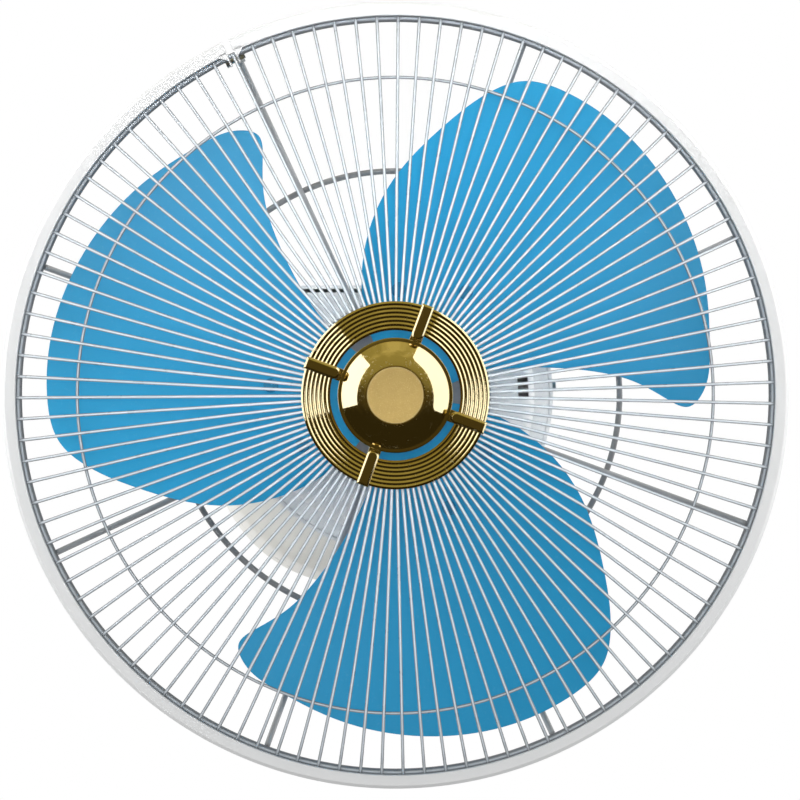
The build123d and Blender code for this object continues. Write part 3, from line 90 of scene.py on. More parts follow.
# The studio: a plain pale floor under the hanging fan and a white surround. Two soft boxes
# stand at the viewer's hands, one behind, and a narrow beam finds the hub between the wires.
# A dim drape round the fan glows, dark below and gold-tinted above, and is there only for polished
# metal to mirror: a painted reflection, as a dark room would give.
class Signal:
    """A value that varies over a surface; sums on it become Math nodes."""

    def __init__(self, finish, socket):
        self.finish = finish
        self.socket = socket

    def math(self, operation, first, second=0.0):
        return self.finish.node("ShaderNodeMath", {"operation": operation}, {0: first, 1: second})

    def __add__(self, other):
        return self.math("ADD", self, other)

    __radd__ = __add__

    def __mul__(self, other):
        return self.math("MULTIPLY", self, other)

    __rmul__ = __mul__

    def __sub__(self, other):
        return self.math("SUBTRACT", self, other)

    def __rsub__(self, other):
        return self.math("SUBTRACT", other, self)

    def __truediv__(self, other):
        return self.math("DIVIDE", self, other)

    def __rtruediv__(self, other):
        return self.math("DIVIDE", other, self)

    def __pow__(self, other):
        return self.math("POWER", self, other)

    def between(self, low, high):
        """0 below low, 1 above high, and a straight slope between."""
        return self.finish.node("ShaderNodeMapRange", {"clamp": True},
                                {"Value": self, "From Min": low, "From Max": high})


class Finish:
    """A material, or the world, that is built up node by node."""

    def __init__(self, name, owner=None):
        self.material = owner or bpy.data.materials.new(name)
        self.material.use_nodes = True
        self.tree = self.material.node_tree
        kind = "BACKGROUND" if owner else "BSDF_PRINCIPLED"
        self.shader = next(node for node in self.tree.nodes if node.type == kind)

    def node(self, kind, settings=None, values=None, output=0):
        """Add a node; a ramp's stops are (position, colour) pairs."""
        made = self.tree.nodes.new(kind)
        for key, value in (settings or {}).items():
            if key == "stops":
                stops = made.color_ramp.elements
                for extra in value[2:]:
                    stops.new(extra[0])
                for stop, (place, colour) in zip(stops, value):
                    stop.position = place
                    stop.color = (*colour, 1)
            else:
                setattr(made, key, value)
        for key, value in (values or {}).items():
            self.feed(made.inputs[key], value)
        return Signal(self, made.outputs[output])

    def feed(self, socket, value):
        if isinstance(value, Signal):
            self.tree.links.new(value.socket, socket)
        elif socket.type == "RGBA":
            socket.default_value = (*value, 1)
        else:
            socket.default_value = value

    def mix(self, amount, first, second):
        """Blend two colours."""
        return self.node("ShaderNodeMix", {"data_type": "RGBA"},
                         {0: amount, 6: first, 7: second}, 2)

    def spot(self, frame_matrix=None):
        """Object coordinates in metres, along the fan's axes or those of a frame."""
        place = self.node("ShaderNodeTexCoord", output=3)
        if frame_matrix:
            turned_back = frame_matrix.inverted()
            place = self.node("ShaderNodeMapping", None, {
                "Vector": place,
                "Location": turned_back.translation,
                "Rotation": turned_back.to_euler(),
            })
        return place

    def part(self, vector, axis):
        """One of a vector's three numbers."""
        return self.node("ShaderNodeSeparateXYZ", None, {"Vector": vector}, "XYZ".index(axis))

    def reach(self, place):
        """How far a place lies from its frame's own axis."""
        across, along = (self.part(place, axis) for axis in "XY")
        return (across * across + along * along) ** 0.5

    def noise(self, scale, detail=2.0, spot=None):
        return self.node("ShaderNodeTexNoise", None,
                         {"Vector": spot or self.spot(), "Scale": scale, "Detail": detail})

    def soft_edges(self, radius):
        """A normal that turns over each edge, as paint and tumbling leave it."""
        return self.node("ShaderNodeBevel", {"samples": 4}, {"Radius": radius})

    def edges(self, softened):
        """0 on flat faces, rising where the softened normal turns away over an edge."""
        facing = self.node("ShaderNodeNewGeometry", output=1)
        return 1 - self.node("ShaderNodeVectorMath", {"operation": "DOT_PRODUCT"},
                             {0: softened, 1: facing}, 1)

    def bump(self, height, depth, base=None):
        """A normal from a height of 0 to 1 that stands for this depth in metres."""
        values = {"Height": height, "Distance": depth}
        if base:
            values["Normal"] = base
        return self.node("ShaderNodeBump", None, values)

    def look(self, **values):
        """Set the shader's inputs; base_color stands for Base Color."""
        sockets = {socket.name.lower().replace(" ", "_"): socket for socket in self.shader.inputs}
        for key, value in values.items():
            self.feed(sockets[key], value)
        return self.material


def studio_piece(name, mesh, material):
    """A stage piece, which isn't part of the fan."""
    data = bpy.data.meshes.new(name)
    mesh.to_mesh(data)
    mesh.free()
    data.materials.append(material)
    piece = bpy.data.objects.new(name, data)
    scene.collection.objects.link(piece)
    return piece


FLOOR_DROP = 2.4
FLOOR_R = 6
floor_mesh = bmesh.new()
bmesh.ops.create_circle(floor_mesh, cap_ends=True, radius=FLOOR_R, segments=64,
                        matrix=Matrix.Translation((0, 0, -FLOOR_DROP)))
floor_paint = Finish("floor_pale")
studio_piece("floor", floor_mesh, floor_paint.look(
    base_color=floor_paint.mix(floor_paint.noise(2.5, 4), (0.80, 0.80, 0.79), (0.76, 0.76, 0.76)),
    roughness=0.8))

DRAPE_R = 2.2
DRAPE_BACK = 1.3
drape_mesh = bmesh.new()
bmesh.ops.create_uvsphere(drape_mesh, u_segments=48, v_segments=24, radius=DRAPE_R)
drape_all = drape_mesh.verts[:] + drape_mesh.edges[:] + drape_mesh.faces[:]
bmesh.ops.bisect_plane(drape_mesh, geom=drape_all, plane_co=(0, 0, -DRAPE_BACK),
                       plane_no=(0, 0, -1), clear_outer=True)
bmesh.ops.transform(drape_mesh, matrix=HEAD, verts=drape_mesh.verts)
# The drape's glow is painted reflection: darker downwards, gold-tinted and brighter upwards,
# uneven in soft patches.
drape_glow_finish = Finish("drape")
drape_height = drape_glow_finish.part(drape_glow_finish.spot(frame_matrix=HEAD), "Y") / DRAPE_R
drape_glow_patches = drape_glow_finish.noise(1.6, 3) - 0.5
drape_glow = drape_glow_finish.node("ShaderNodeValToRGB", {"stops": (
    (0.32, (0.030, 0.022, 0.006)),
    (0.52, (0.078, 0.056, 0.015)),
    (0.68, (0.27, 0.22, 0.060)),
    (0.93, (0.34, 0.28, 0.080)),
    (1.00, (0.54, 0.45, 0.16)),
)}, {0: drape_height * 0.5 + 0.5 + drape_glow_patches * 0.25})
drape = studio_piece("drape", drape_mesh, drape_glow_finish.look(
    base_color=(0.0, 0.0, 0.0), roughness=1.0, specular_ior_level=0.0,
    emission_color=drape_glow, emission_strength=1.0))
drape.visible_camera = False
drape.visible_diffuse = False
drape.visible_shadow = False

AMBIENT = 0.52
world = bpy.data.worlds.new("surround")
scene.world = world
surround = Finish("surround", world)
ray = {name: surround.node("ShaderNodeLightPath", output=place)
       for place, name in ((0, "camera"), (3, "glossy"), (6, "transmission"))}
seen = ray["camera"] + ray["glossy"] + ray["transmission"]
surround.feed(surround.shader.inputs["Color"], (1.0, 1.0, 1.0))
surround.feed(surround.shader.inputs["Strength"], AMBIENT + (1 - AMBIENT) * seen)


def soft_box(name, place, across, along, size, power, mirrored=True, spread=pi):
    """A rectangular lamp on the head's frame: its middle, its edges' directions, its size."""
    lamp = bpy.data.lights.new(name, "AREA")
    lamp.shape = "RECTANGLE"
    lamp.size, lamp.size_y = size
    lamp.energy = power
    lamp.spread = spread
    stand = bpy.data.objects.new(name, lamp)
    stand.visible_glossy = mirrored
    across, along = Vector(across), Vector(along)
    turn = Matrix((across, along, across.cross(along))).transposed().to_4x4()
    stand.matrix_world = HEAD @ Matrix.Translation(place) @ turn
    scene.collection.objects.link(stand)


SIDE_STAND = 1.5
SIDE_BACK = -0.85
SIDE_FRONT = 1.08
for name, bearing, half_span, power in (("light_left", 162, 32, 21), ("light_right", 22, 43, 27)):
    out = Vector((cos(radians(bearing)), sin(radians(bearing)), 0))
    middle = out * SIDE_STAND + Vector((0, 0, (SIDE_BACK + SIDE_FRONT) / 2))
    soft_box(name, middle, (0, 0, -1), (-out.y, out.x, 0),
             (SIDE_FRONT - SIDE_BACK, 2 * SIDE_STAND * tan(radians(half_span))), power)
soft_box("light_front", (-0.15, 0.5, 1.75), (1, 0, 0), (0, 1, 0), (1.1, 1.1), 12.5,
         mirrored=False)
soft_box("light_hub", (0, 0.1, 1.45), (1, 0, 0), (0, 1, 0), (0.3, 0.3), 0.18, mirrored=False,
         spread=radians(20))


# Ceiling plate: a pan pressed from 3 mm steel, screwed up through four holes, with a skirt
# that the canopy slips over. Cream enamel, baked on.
MM = 0.001


def enamel(name, colour, shade_colour, roughness, peel=0.00004, edge=0.0005):
    """Sprayed enamel: a slow drift of tint, orange peel, dust in its sheen, thin on edges."""
    paint = Finish(name)
    smoothed = paint.soft_edges(edge)
    thin = paint.edges(smoothed).between(0.02, 0.30) * paint.noise(90, 3)
    drift = paint.mix(paint.noise(9, 3), colour, shade_colour)
    return paint.look(
        base_color=paint.mix(thin * 0.5, drift, tuple(part * 0.72 for part in shade_colour)),
        roughness=roughness - 0.08 + paint.noise(160, 4) * 0.16,
        coat_weight=0.3,
        coat_roughness=0.12,
        normal=paint.bump(paint.noise(650), peel, smoothed))


def shade(mesh, crease=radians(34)):
    """Smooth faces, with every fold sharper than the crease kept crisp."""
    for face in mesh.faces:
        face.smooth = True
    for edge in mesh.edges:
        edge.smooth = len(edge.link_faces) == 2 and edge.calc_face_angle(0) < crease


def settle(mesh, name, body, node, material):
    """Make a mesh a piece that rides on a body and stands in for a CAD node."""
    data = bpy.data.meshes.new(name)
    mesh.to_mesh(data)
    mesh.free()
    data.materials.append(material)
    piece = bpy.data.objects.new(name, data)
    scene.collection.objects.link(piece)
    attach(piece, body)
    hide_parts(node)
    return piece


DRESSED_CREASE = radians(30)


def dress(material, *nodes):
    """Smooth merged copies of CAD nodes stand in for them in this finish."""
    for node in nodes:
        source = frame["nodes"][node]
        mesh = bmesh.new()
        mesh.from_mesh(source.data)
        bmesh.ops.remove_doubles(mesh, verts=mesh.verts, dist=2e-6)
        shade(mesh, DRESSED_CREASE)
        settle(mesh, node + "_dressed", source["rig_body"], node, material)


pan_cream = enamel("pan_cream", (0.74, 0.71, 0.62), (0.69, 0.66, 0.57), 0.36)
dress(pan_cream, "ceiling_plate")


# Canopy: a deep bowl spun from 1.5 mm steel over the pan, its lip turned in at the foot and
# its rim trimmed square. Cream enamel with a fine orange peel.
CANOPY_R = 91.8
CANOPY_RIM_Z = -1
CANOPY_SHOULDER_Z = -20
CANOPY_FOOT_Z = -62
CANOPY_FOOT_R = 26
CANOPY_HOLE_R = 11
CANOPY_WALL = 1.5


def turned(mesh, outline, steps=128, span=2 * pi, rounding=0.0, closed=True):
    """Spin an outline of (radius, station) millimetres, its corners rounded, round the axis."""
    verts = [mesh.verts.new((radius * MM, 0, station * MM)) for radius, station in outline]
    pairs = list(zip(verts, verts[1:] + verts[:1]))
    for pair in pairs if closed else pairs[:-1]:
        mesh.edges.new(pair)
    if rounding:
        corners = verts if closed else verts[1:-1]
        bmesh.ops.bevel(mesh, geom=corners, affect="VERTICES", offset=rounding * MM, segments=3,
                        profile=0.5, material=-1)
    return bmesh.ops.spin(mesh, geom=mesh.verts[:] + mesh.edges[:], cent=(0, 0, 0), axis=(0, 0, 1),
                          angle=span, steps=steps, use_merge=span == 2 * pi)


def finish_mesh(mesh, frame_matrix):
    """Merge, put in place, turn the faces outwards and smooth them."""
    bmesh.ops.remove_doubles(mesh, verts=mesh.verts, dist=1e-6)
    bmesh.ops.transform(mesh, matrix=frame_matrix, verts=mesh.verts)
    bmesh.ops.recalc_face_normals(mesh, faces=mesh.faces)
    shade(mesh)


def round_off(piece, width, segments=2, sharp=radians(40)):
    """Rounded edges, in millimetres, where the faces meet at more than this angle."""
    rounding = piece.modifiers.new("round_off", "BEVEL")
    rounding.width = width * MM
    rounding.segments = segments
    rounding.limit_method = "ANGLE"
    rounding.angle_limit = sharp
    rounding.harden_normals = True
    return piece


def wall(piece, thickness):
    """Give a sheet its thickness, in millimetres, inwards from its outer face."""
    skin = piece.modifiers.new("wall", "SOLIDIFY")
    skin.thickness = thickness * MM
    skin.offset = -1
    skin.use_even_offset = True
    return piece


bowl = bmesh.new()
bowl_squeeze = (CANOPY_SHOULDER_Z - CANOPY_FOOT_Z) / (CANOPY_R - CANOPY_FOOT_R)
bowl_line = [bowl.verts.new((radius * bowl_squeeze * MM, 0, height * MM)) for radius, height in (
    (CANOPY_R, CANOPY_RIM_Z), (CANOPY_R, CANOPY_FOOT_Z), (CANOPY_HOLE_R, CANOPY_FOOT_Z))]
for pair in zip(bowl_line, bowl_line[1:]):
    bowl.edges.new(pair)
bmesh.ops.bevel(bowl, geom=bowl_line[1:2], affect="VERTICES", segments=24, profile=0.5,
                material=-1, offset=(CANOPY_SHOULDER_Z - CANOPY_FOOT_Z) * MM)
bmesh.ops.scale(bowl, verts=bowl.verts, vec=(1 / bowl_squeeze, 1, 1))
bmesh.ops.spin(bowl, geom=bowl.verts[:] + bowl.edges[:], cent=(0, 0, 0), axis=(0, 0, 1),
               angle=2 * pi, steps=144, use_merge=True)
finish_mesh(bowl, Matrix())
canopy_cream = enamel("canopy_cream", (0.88, 0.865, 0.81), (0.84, 0.825, 0.765), 0.30)
canopy = settle(bowl, "canopy_spun", "ceiling_mount", "canopy", canopy_cream)
round_off(wall(canopy, CANOPY_WALL), 0.4)


# Steel fasteners of the ceiling mount, the gear case and the fork: bought screws, bolts and
# nuts, zinc plated with a faint blue passivation, dull in their slots.
def plated(name, colour, shade_colour, roughness, metallic=1.0, edge=0.0002):
    """Plated or bare metal with handling marks and a fine grain."""
    metal = Finish(name)
    marks = metal.noise(70, 5)
    return metal.look(
        base_color=metal.mix(metal.noise(240, 3), colour, shade_colour),
        metallic=metallic,
        roughness=roughness - 0.05 + marks * 0.12,
        normal=metal.bump(metal.noise(1400), 0.00001, metal.soft_edges(edge)))


zinc = plated("zinc_plate", (0.62, 0.63, 0.62), (0.50, 0.52, 0.53), 0.30)
dress(zinc, "canopy_screws", "flange_bolts", "flange_nuts", "lid_screws", "orbit_motor_screws",
      "fork_screws", "neck_screws", "cover_screws", "rear_guard_screws", "rim_screw", "rim_nut",
      "through_bolts", "through_nuts", "capacitor_clip")


# Ceiling shaft: a flanged steel tube, turned from bar, that carries the whole fan; its
# thrust washer and lock nut. Bare steel with the rings of the lathe tool on it.
LATHE_RINGS = 2600
LATHE_DEPTH = 0.000012


def lathe_turned(name, colour, shade_colour, roughness, frame_matrix=None):
    """Bare metal with fine rings about its own axis."""
    metal = Finish(name)
    place = metal.spot(frame_matrix=frame_matrix)
    ring_place = metal.node("ShaderNodeCombineXYZ", None, {
        "X": metal.reach(place) * LATHE_RINGS,
        "Y": metal.part(place, "Z") * LATHE_RINGS,
    })
    rings = metal.noise(1.0, 3.0, ring_place)
    stain = metal.noise(45, 4)
    return metal.look(
        base_color=metal.mix(stain, colour, shade_colour),
        metallic=1.0,
        roughness=roughness + rings * 0.12 + stain * 0.06,
        normal=metal.bump(rings, LATHE_DEPTH, metal.soft_edges(0.0002)))


shaft_steel = lathe_turned("shaft_steel", (0.55, 0.55, 0.55), (0.46, 0.46, 0.47), 0.22)
dress(shaft_steel, "ceiling_shaft", "thrust_washer", "shaft_nut")


# Orbit gearing: a hobbed steel gear pinned to the shaft, and a moulded nylon pinion on a
# ground pin that walks round it.
gear_steel = lathe_turned("gear_steel", (0.46, 0.46, 0.45), (0.36, 0.36, 0.36), 0.28)
dress(gear_steel, "fixed_gear", "gear_grub_screws")


def moulded(name, colour, shade_colour, roughness, depth=0.00003, edge=0.0004):
    """Moulded plastic with a fine spark-eroded grain and slow flow marks."""
    plastic = Finish(name)
    flow = plastic.noise(14, 3)
    return plastic.look(
        base_color=plastic.mix(flow, colour, shade_colour),
        roughness=roughness - 0.06 + plastic.noise(120, 4) * 0.12,
        normal=plastic.bump(plastic.noise(1800), depth, plastic.soft_edges(edge)))


pinion_nylon = moulded("pinion_nylon", (0.75, 0.72, 0.62), (0.70, 0.66, 0.55), 0.4)
dress(pinion_nylon, "orbit_pinion")
pin_steel = lathe_turned("pin_steel", (0.62, 0.62, 0.62), (0.56, 0.56, 0.56), 0.12)
dress(pin_steel, "pinion_shaft")


# Orbit gear case: a pear-shaped alloy casting with its lid, sprayed cream over the cast
# skin, with an oil bronze bush pressed in below.
def sprayed_casting(name, colour, shade_colour):
    """Enamel over a cast skin: the sand's fine pits still show through."""
    paint = Finish(name)
    smoothed = paint.soft_edges(0.0008)
    skin = paint.noise(420, 4)
    pits = paint.noise(900, 2).between(0.62, 0.75)
    return paint.look(
        base_color=paint.mix(paint.noise(11, 3), colour, shade_colour),
        roughness=0.36 + paint.noise(150, 3) * 0.14,
        coat_weight=0.2,
        coat_roughness=0.15,
        normal=paint.bump(skin - pits * 0.6, 0.00009, smoothed))


case_cream = sprayed_casting("case_cream", (0.74, 0.72, 0.64), (0.69, 0.67, 0.59))
dress(case_cream, "orbit_case", "orbit_case_lid")
bush_bronze = lathe_turned("bush_bronze", (0.52, 0.31, 0.13), (0.42, 0.25, 0.10), 0.36)
dress(bush_bronze, "orbit_bush")


# Orbit motor: a small geared synchronous motor in a pressed can, zinc plated and spun over
# at its lid, screwed to the floor of the case.
can_zinc = plated("motor_can_zinc", (0.60, 0.60, 0.57), (0.53, 0.53, 0.51), 0.33, edge=0.0006)
dress(can_zinc, "orbit_motor")


# Tilt fork: a cream strap of 5 mm steel bent into a U and bolted under the case. A long
# hexagon bolt, its plain washer and a five-lobed knob clamp the head's lean.
fork_cream = enamel("fork_cream", (0.74, 0.72, 0.65), (0.69, 0.67, 0.60), 0.34, edge=0.0009)
dress(fork_cream, "tilt_fork")
bolt_zinc = plated("bolt_zinc", (0.58, 0.58, 0.55), (0.49, 0.50, 0.49), 0.28)
dress(bolt_zinc, "tilt_bolt", "tilt_washer")
knob_black = moulded("knob_black", (0.022, 0.022, 0.024), (0.032, 0.032, 0.034), 0.45,
                     depth=0.00008, edge=0.0012)
dress(knob_black, "tilt_knob")


# Neck: an alloy casting with the barrel that the tilt bolt runs through and the flange that
# clamps the rear cover to the motor. Shot blasted, left bare.
def blasted(name, colour, shade_colour):
    """Blasted alloy casting, dull and finely pitted, brighter on its rubbed edges."""
    metal = Finish(name)
    smoothed = metal.soft_edges(0.0009)
    rubbed = metal.edges(smoothed).between(0.02, 0.25)
    cast = metal.mix(metal.noise(30, 4), colour, shade_colour)
    return metal.look(
        base_color=metal.mix(rubbed * 0.6, cast, tuple(min(1, part * 1.35) for part in colour)),
        metallic=0.4,
        roughness=0.45 + metal.noise(300, 4) * 0.15 - rubbed * 0.12,
        normal=metal.bump(metal.noise(1100, 4), 0.00012, smoothed))


neck_alloy = blasted("neck_alloy", (0.52, 0.53, 0.54), (0.43, 0.44, 0.45))
dress(neck_alloy, "motor_neck")


# Motor housing: a wide pressed bowl behind and a moulded dish in front, both white with a
# flat cut across the top, screwed together through the dish's skirt.
rear_white = enamel("rear_cover_white", (0.90, 0.90, 0.89), (0.87, 0.87, 0.86), 0.30, edge=0.0008)
dress(rear_white, "motor_rear_cover")
front_white = moulded("front_cover_white", (0.90, 0.90, 0.89), (0.87, 0.87, 0.86), 0.34,
                      depth=0.00002, edge=0.0008)
dress(front_white, "motor_front_cover")


# Motor: two cast brackets bolted over the stator, a stack of stamped laminations with its
# copper windings, and a cast squirrel cage on a ground spindle in shielded bearings.
bracket_alloy = blasted("bracket_alloy", (0.50, 0.51, 0.52), (0.42, 0.43, 0.44))
dress(bracket_alloy, "motor_rear_bracket", "motor_front_bracket")


SHEET = 0.5


def laminated(name, colour, shade_colour):
    """Half-millimetre steel sheets seen edge on, stacked along the head's axis."""
    metal = Finish(name)
    station = metal.part(metal.spot(frame_matrix=HEAD), "Z") / MM
    sheets = station.math("PINGPONG", station, SHEET / 2) * (2 / SHEET)
    rust = metal.noise(60, 4)
    return metal.look(
        base_color=metal.mix(rust, colour, shade_colour),
        metallic=0.5,
        roughness=0.42 + rust * 0.15,
        normal=metal.bump(sheets, 0.00008, metal.soft_edges(0.0002)))


dress(laminated("stator_steel", (0.28, 0.28, 0.29), (0.19, 0.18, 0.18)), "stator_core")
dress(laminated("rotor_steel", (0.40, 0.40, 0.40), (0.32, 0.32, 0.33)), "rotor_core")

copper = Finish("winding_copper")
strands = copper.node("ShaderNodeTexWave", {"wave_type": "RINGS", "rings_direction": "Z"}, {
    "Vector": copper.spot(frame_matrix=HEAD),
    "Scale": 420.0,
    "Distortion": 2.0,
    "Detail": 2.0,
})
dress(copper.look(
    base_color=copper.mix(strands, (0.30, 0.10, 0.03), (0.62, 0.24, 0.08)),
    metallic=0.9,
    roughness=0.28 + copper.noise(200, 3) * 0.16,
    normal=copper.bump(strands, 0.0002)), "stator_windings")

bearing_steel = lathe_turned("bearing_steel", (0.58, 0.58, 0.58), (0.50, 0.50, 0.50), 0.16, HEAD)
dress(bearing_steel, "motor_bearings")
spindle_steel = lathe_turned("spindle_steel", (0.56, 0.56, 0.56), (0.50, 0.50, 0.50), 0.18, HEAD)
dress(spindle_steel, "motor_spindle", "drive_pin", "blade_washer")


# Run capacitor: a grey moulded box sealed with resin, held to the rear bracket by a spring
# strap.
capacitor_grey = moulded("capacitor_grey", (0.55, 0.55, 0.52), (0.50, 0.50, 0.47), 0.5,
                         depth=0.00005, edge=0.0008)
dress(capacitor_grey, "capacitor")


# Rear guard: a pressed plate screwed to the motor, eight stout wire spokes welded on it, a
# ring behind them and a heavy ring at their bent ends. Sprayed grey after welding.
SPOKES = 8
SPOKE_START = 24.9
SPOKE_D = 3.5
SPOKE_ROUTE = ((38, 118.05), (90, 118.05), (150, 115), (196, 119), (210, 137), (214.2, 142))
SPOKE_BENDS = (60, 60, 9, 6)
REAR_RING = (216.1, 142, 2.8)
REAR_MIDDLE_RING = (131.5, 112.65, SPOKE_D)
REAR_PLATE = ((15, 114), (56, 114), (56, 116.5), (15, 116.5))
WIRE_TIP = 0.25
WIRE_TIP_TAPER = 0.62


def only(items, kind):
    return [item for item in items if isinstance(item, kind)]


def bend_wire(mesh, route, bends, thickness, sides):
    """Round wire along (radius, station) points: drawn straight, spun round each bend."""
    points = [Vector((radius * MM, 0, station * MM)) for radius, station in route]
    along = (points[1] - points[0]).normalized()
    turn = Vector((0, 0, 1)).rotation_difference(along).to_matrix().to_4x4()
    start = bmesh.ops.create_circle(mesh, radius=thickness * MM / 2, segments=sides,
                                    matrix=Matrix.Translation(points[0]) @ turn)["verts"]
    first = list({edge for vert in start for edge in vert.link_edges})
    tip, here = first, points[0]

    def draw(tip, step, taper=1.0):
        grown = bmesh.ops.extrude_edge_only(mesh, edges=tip)["geom"]
        verts = only(grown, bmesh.types.BMVert)
        bmesh.ops.translate(mesh, verts=verts, vec=step)
        if taper != 1:
            middle = sum((vert.co for vert in verts), Vector()) / len(verts)
            bmesh.ops.scale(mesh, verts=verts, vec=(taper,) * 3, space=Matrix.Translation(-middle))
        return only(grown, bmesh.types.BMEdge)

    for corner, after, bend in zip(points[1:], points[2:], bends):
        leaving = (after - corner).normalized()
        angle = along.angle(leaving)
        begin = corner - along * bend * MM * tan(angle / 2)
        tip = draw(tip, begin - here)
        axis = along.cross(leaving).normalized()
        centre = begin + axis.cross(along) * bend * MM
        spun = bmesh.ops.spin(mesh, geom=tip, cent=centre, axis=axis, angle=angle, steps=3)
        tip = only(spun["geom_last"], bmesh.types.BMEdge)
        here = corner + leaving * bend * MM * tan(angle / 2)
        along = leaving
    tip = draw(tip, points[-1] - here)
    tip = draw(tip, along * thickness * MM * WIRE_TIP, WIRE_TIP_TAPER)
    bmesh.ops.contextual_create(mesh, geom=first)
    bmesh.ops.contextual_create(mesh, geom=tip)


def fan_out(mesh, count, start):
    """Turn what is drawn to its start angle and repeat it round the head's axis."""
    bmesh.ops.rotate(mesh, verts=mesh.verts, cent=(0, 0, 0),
                     matrix=Matrix.Rotation(radians(start), 3, "Z"))
    bmesh.ops.spin(mesh, geom=mesh.verts[:] + mesh.edges[:] + mesh.faces[:], cent=(0, 0, 0),
                   axis=(0, 0, 1), angle=2 * pi * (count - 1) / count, steps=count - 1,
                   use_duplicate=True)


def round_ring(mesh, radius, station, thickness, sides=8, steps=220):
    """A closed wire ring round the head's axis, in millimetres."""
    place = Matrix.Translation((radius * MM, 0, station * MM)) @ Matrix.Rotation(pi / 2, 4, "X")
    made = bmesh.ops.create_circle(mesh, radius=thickness * MM / 2, segments=sides,
                                   matrix=place)["verts"]
    edges = list({edge for vert in made for edge in vert.link_edges})
    bmesh.ops.spin(mesh, geom=edges, cent=(0, 0, 0), axis=(0, 0, 1), angle=2 * pi, steps=steps,
                   use_merge=True)


spoke_grey = enamel("spoke_grey", (0.33, 0.34, 0.35), (0.27, 0.28, 0.29), 0.34, 0.00003)

pressed_plate = bmesh.new()
turned(pressed_plate, REAR_PLATE, rounding=0.5)
finish_mesh(pressed_plate, HEAD)
settle(pressed_plate, "rear_plate_pressed", "head", "rear_guard_plate", spoke_grey)

spokes = bmesh.new()
bend_wire(spokes, SPOKE_ROUTE, SPOKE_BENDS, SPOKE_D, 12)
fan_out(spokes, SPOKES, SPOKE_START)
finish_mesh(spokes, HEAD)
settle(spokes, "rear_spokes_bent", "head", "rear_guard_spokes", spoke_grey)

rear_rings = bmesh.new()
round_ring(rear_rings, *REAR_RING, sides=12)
round_ring(rear_rings, *REAR_MIDDLE_RING, sides=12, steps=160)
finish_mesh(rear_rings, HEAD)
# The rings wear the spokes' grey made darker: painted shade for where they lie behind the blades
# and wires.
ring_grey_painted_shade = enamel("rear_ring_grey", (0.23, 0.235, 0.24), (0.19, 0.195, 0.20), 0.36, 0.00003)
settle(rear_rings, "rear_rings_welded", "head", "rear_guard_rings", ring_grey_painted_shade)


# Blade spider: a steel hub with three flat arms welded on it, one under each blade, sprayed
# grey. A pin through the spindle drives its slotted back.
spider_grey = enamel("spider_grey", (0.24, 0.25, 0.26), (0.19, 0.20, 0.21), 0.4, 0.00005)
dress(spider_grey, "blade_spider")


# Blades: three broad leaves moulded in sky-blue plastic, 1.5 mm thick, hollow on the front
# and twisted, each held to its arm by two domed rivets that were sprayed over in blue.
BLADE_EDGE_R = 0.0006
blade_blue = Finish("blade_sky_blue")
blade_place = blade_blue.spot(frame_matrix=HEAD)
blade_x, blade_y = (blade_blue.part(blade_place, axis) for axis in "XY")
flow_place = blade_blue.node("ShaderNodeCombineXYZ", None, {
    "X": blade_blue.reach(blade_place) * 6.0,
    "Y": blade_y.math("ARCTAN2", blade_y, blade_x) * 5.0,
})
flow_marks = blade_blue.noise(2.4, 4.0, flow_place)
blade_dust = blade_blue.noise(520, 3).between(0.60, 0.80)
blade_tint = blade_blue.mix(flow_marks, (0.013, 0.308, 0.580), (0.017, 0.336, 0.625))
dress(blade_blue.look(
    base_color=blade_blue.mix(blade_dust * 0.10, blade_tint, (0.25, 0.50, 0.70)),
    roughness=0.36 + flow_marks * 0.10 + blade_dust * 0.15,
    normal=blade_blue.bump(blade_blue.noise(1500, 3), 0.00002,
                           blade_blue.soft_edges(BLADE_EDGE_R))),
    "blade_1", "blade_2", "blade_3")
rivet_blue = plated("rivet_blue", (0.06, 0.33, 0.58), (0.04, 0.27, 0.50), 0.25, metallic=0.3)
dress(rivet_blue, "blade_rivets")


# Blade nut: a domed nut of chromed brass on the spindle's end, over a plain washer.
nut_chrome = plated("nut_chrome", (0.74, 0.75, 0.76), (0.68, 0.69, 0.70), 0.09)
dress(nut_chrome, "blade_nut")


# Front guard: 111 round steel wires from a centre plate, bent back near the rim to a thicker
# ring, with one thin ring behind them. Welded, then sprayed silver grey; their colour carries
# painted light, a bright painted highlight along each wire's middle and painted shade on its
# flanks.
WIRES = 111
WIRE_START = 2.0
WIRE_D = 1.8
WIRE_ROUTE = ((48.5, 196), (178, 190), (205.6, 176), (215.5, 153.4))
WIRE_BENDS = (14, 12)
FRONT_RING = (215.4, 152, 2.9)
MIDDLE_RING = (177.3, 188.4, 1.8)
CENTRE_PLATE = ((36.5, 193.9), (51.5, 193.9), (51.5, 195.4), (36.5, 195.4))
RING_PAINTED_HIGHLIGHT = 0.92


def note_painted_highlight(mesh, on_wires=False):
    """Store a painted highlight mask: 1 on the middle of a wire, 0 on its flanks; rings and plate
    by how squarely they face forward.
    """
    layer = mesh.verts.layers.float.new("front")
    mesh.normal_update()
    to_head = HEAD.inverted()
    for vert in mesh.verts:
        if on_wires:
            out = to_head @ vert.co
            across = (right * -out.y + up * out.x).normalized()
            vert[layer] = (1 - min(1, vert.normal.dot(across) ** 2)) ** 0.5
        else:
            vert[layer] = RING_PAINTED_HIGHLIGHT * abs(vert.normal.dot(forward))


guard = bmesh.new()
bend_wire(guard, WIRE_ROUTE, WIRE_BENDS, WIRE_D, 8)
fan_out(guard, WIRES, WIRE_START)
finish_mesh(guard, HEAD)
note_painted_highlight(guard, on_wires=True)
guard_rings = bmesh.new()
round_ring(guard_rings, *FRONT_RING)
round_ring(guard_rings, *MIDDLE_RING)
finish_mesh(guard_rings, HEAD)
note_painted_highlight(guard_rings)
centre_plate = bmesh.new()
turned(centre_plate, CENTRE_PLATE, rounding=0.3)
finish_mesh(centre_plate, HEAD)
note_painted_highlight(centre_plate)
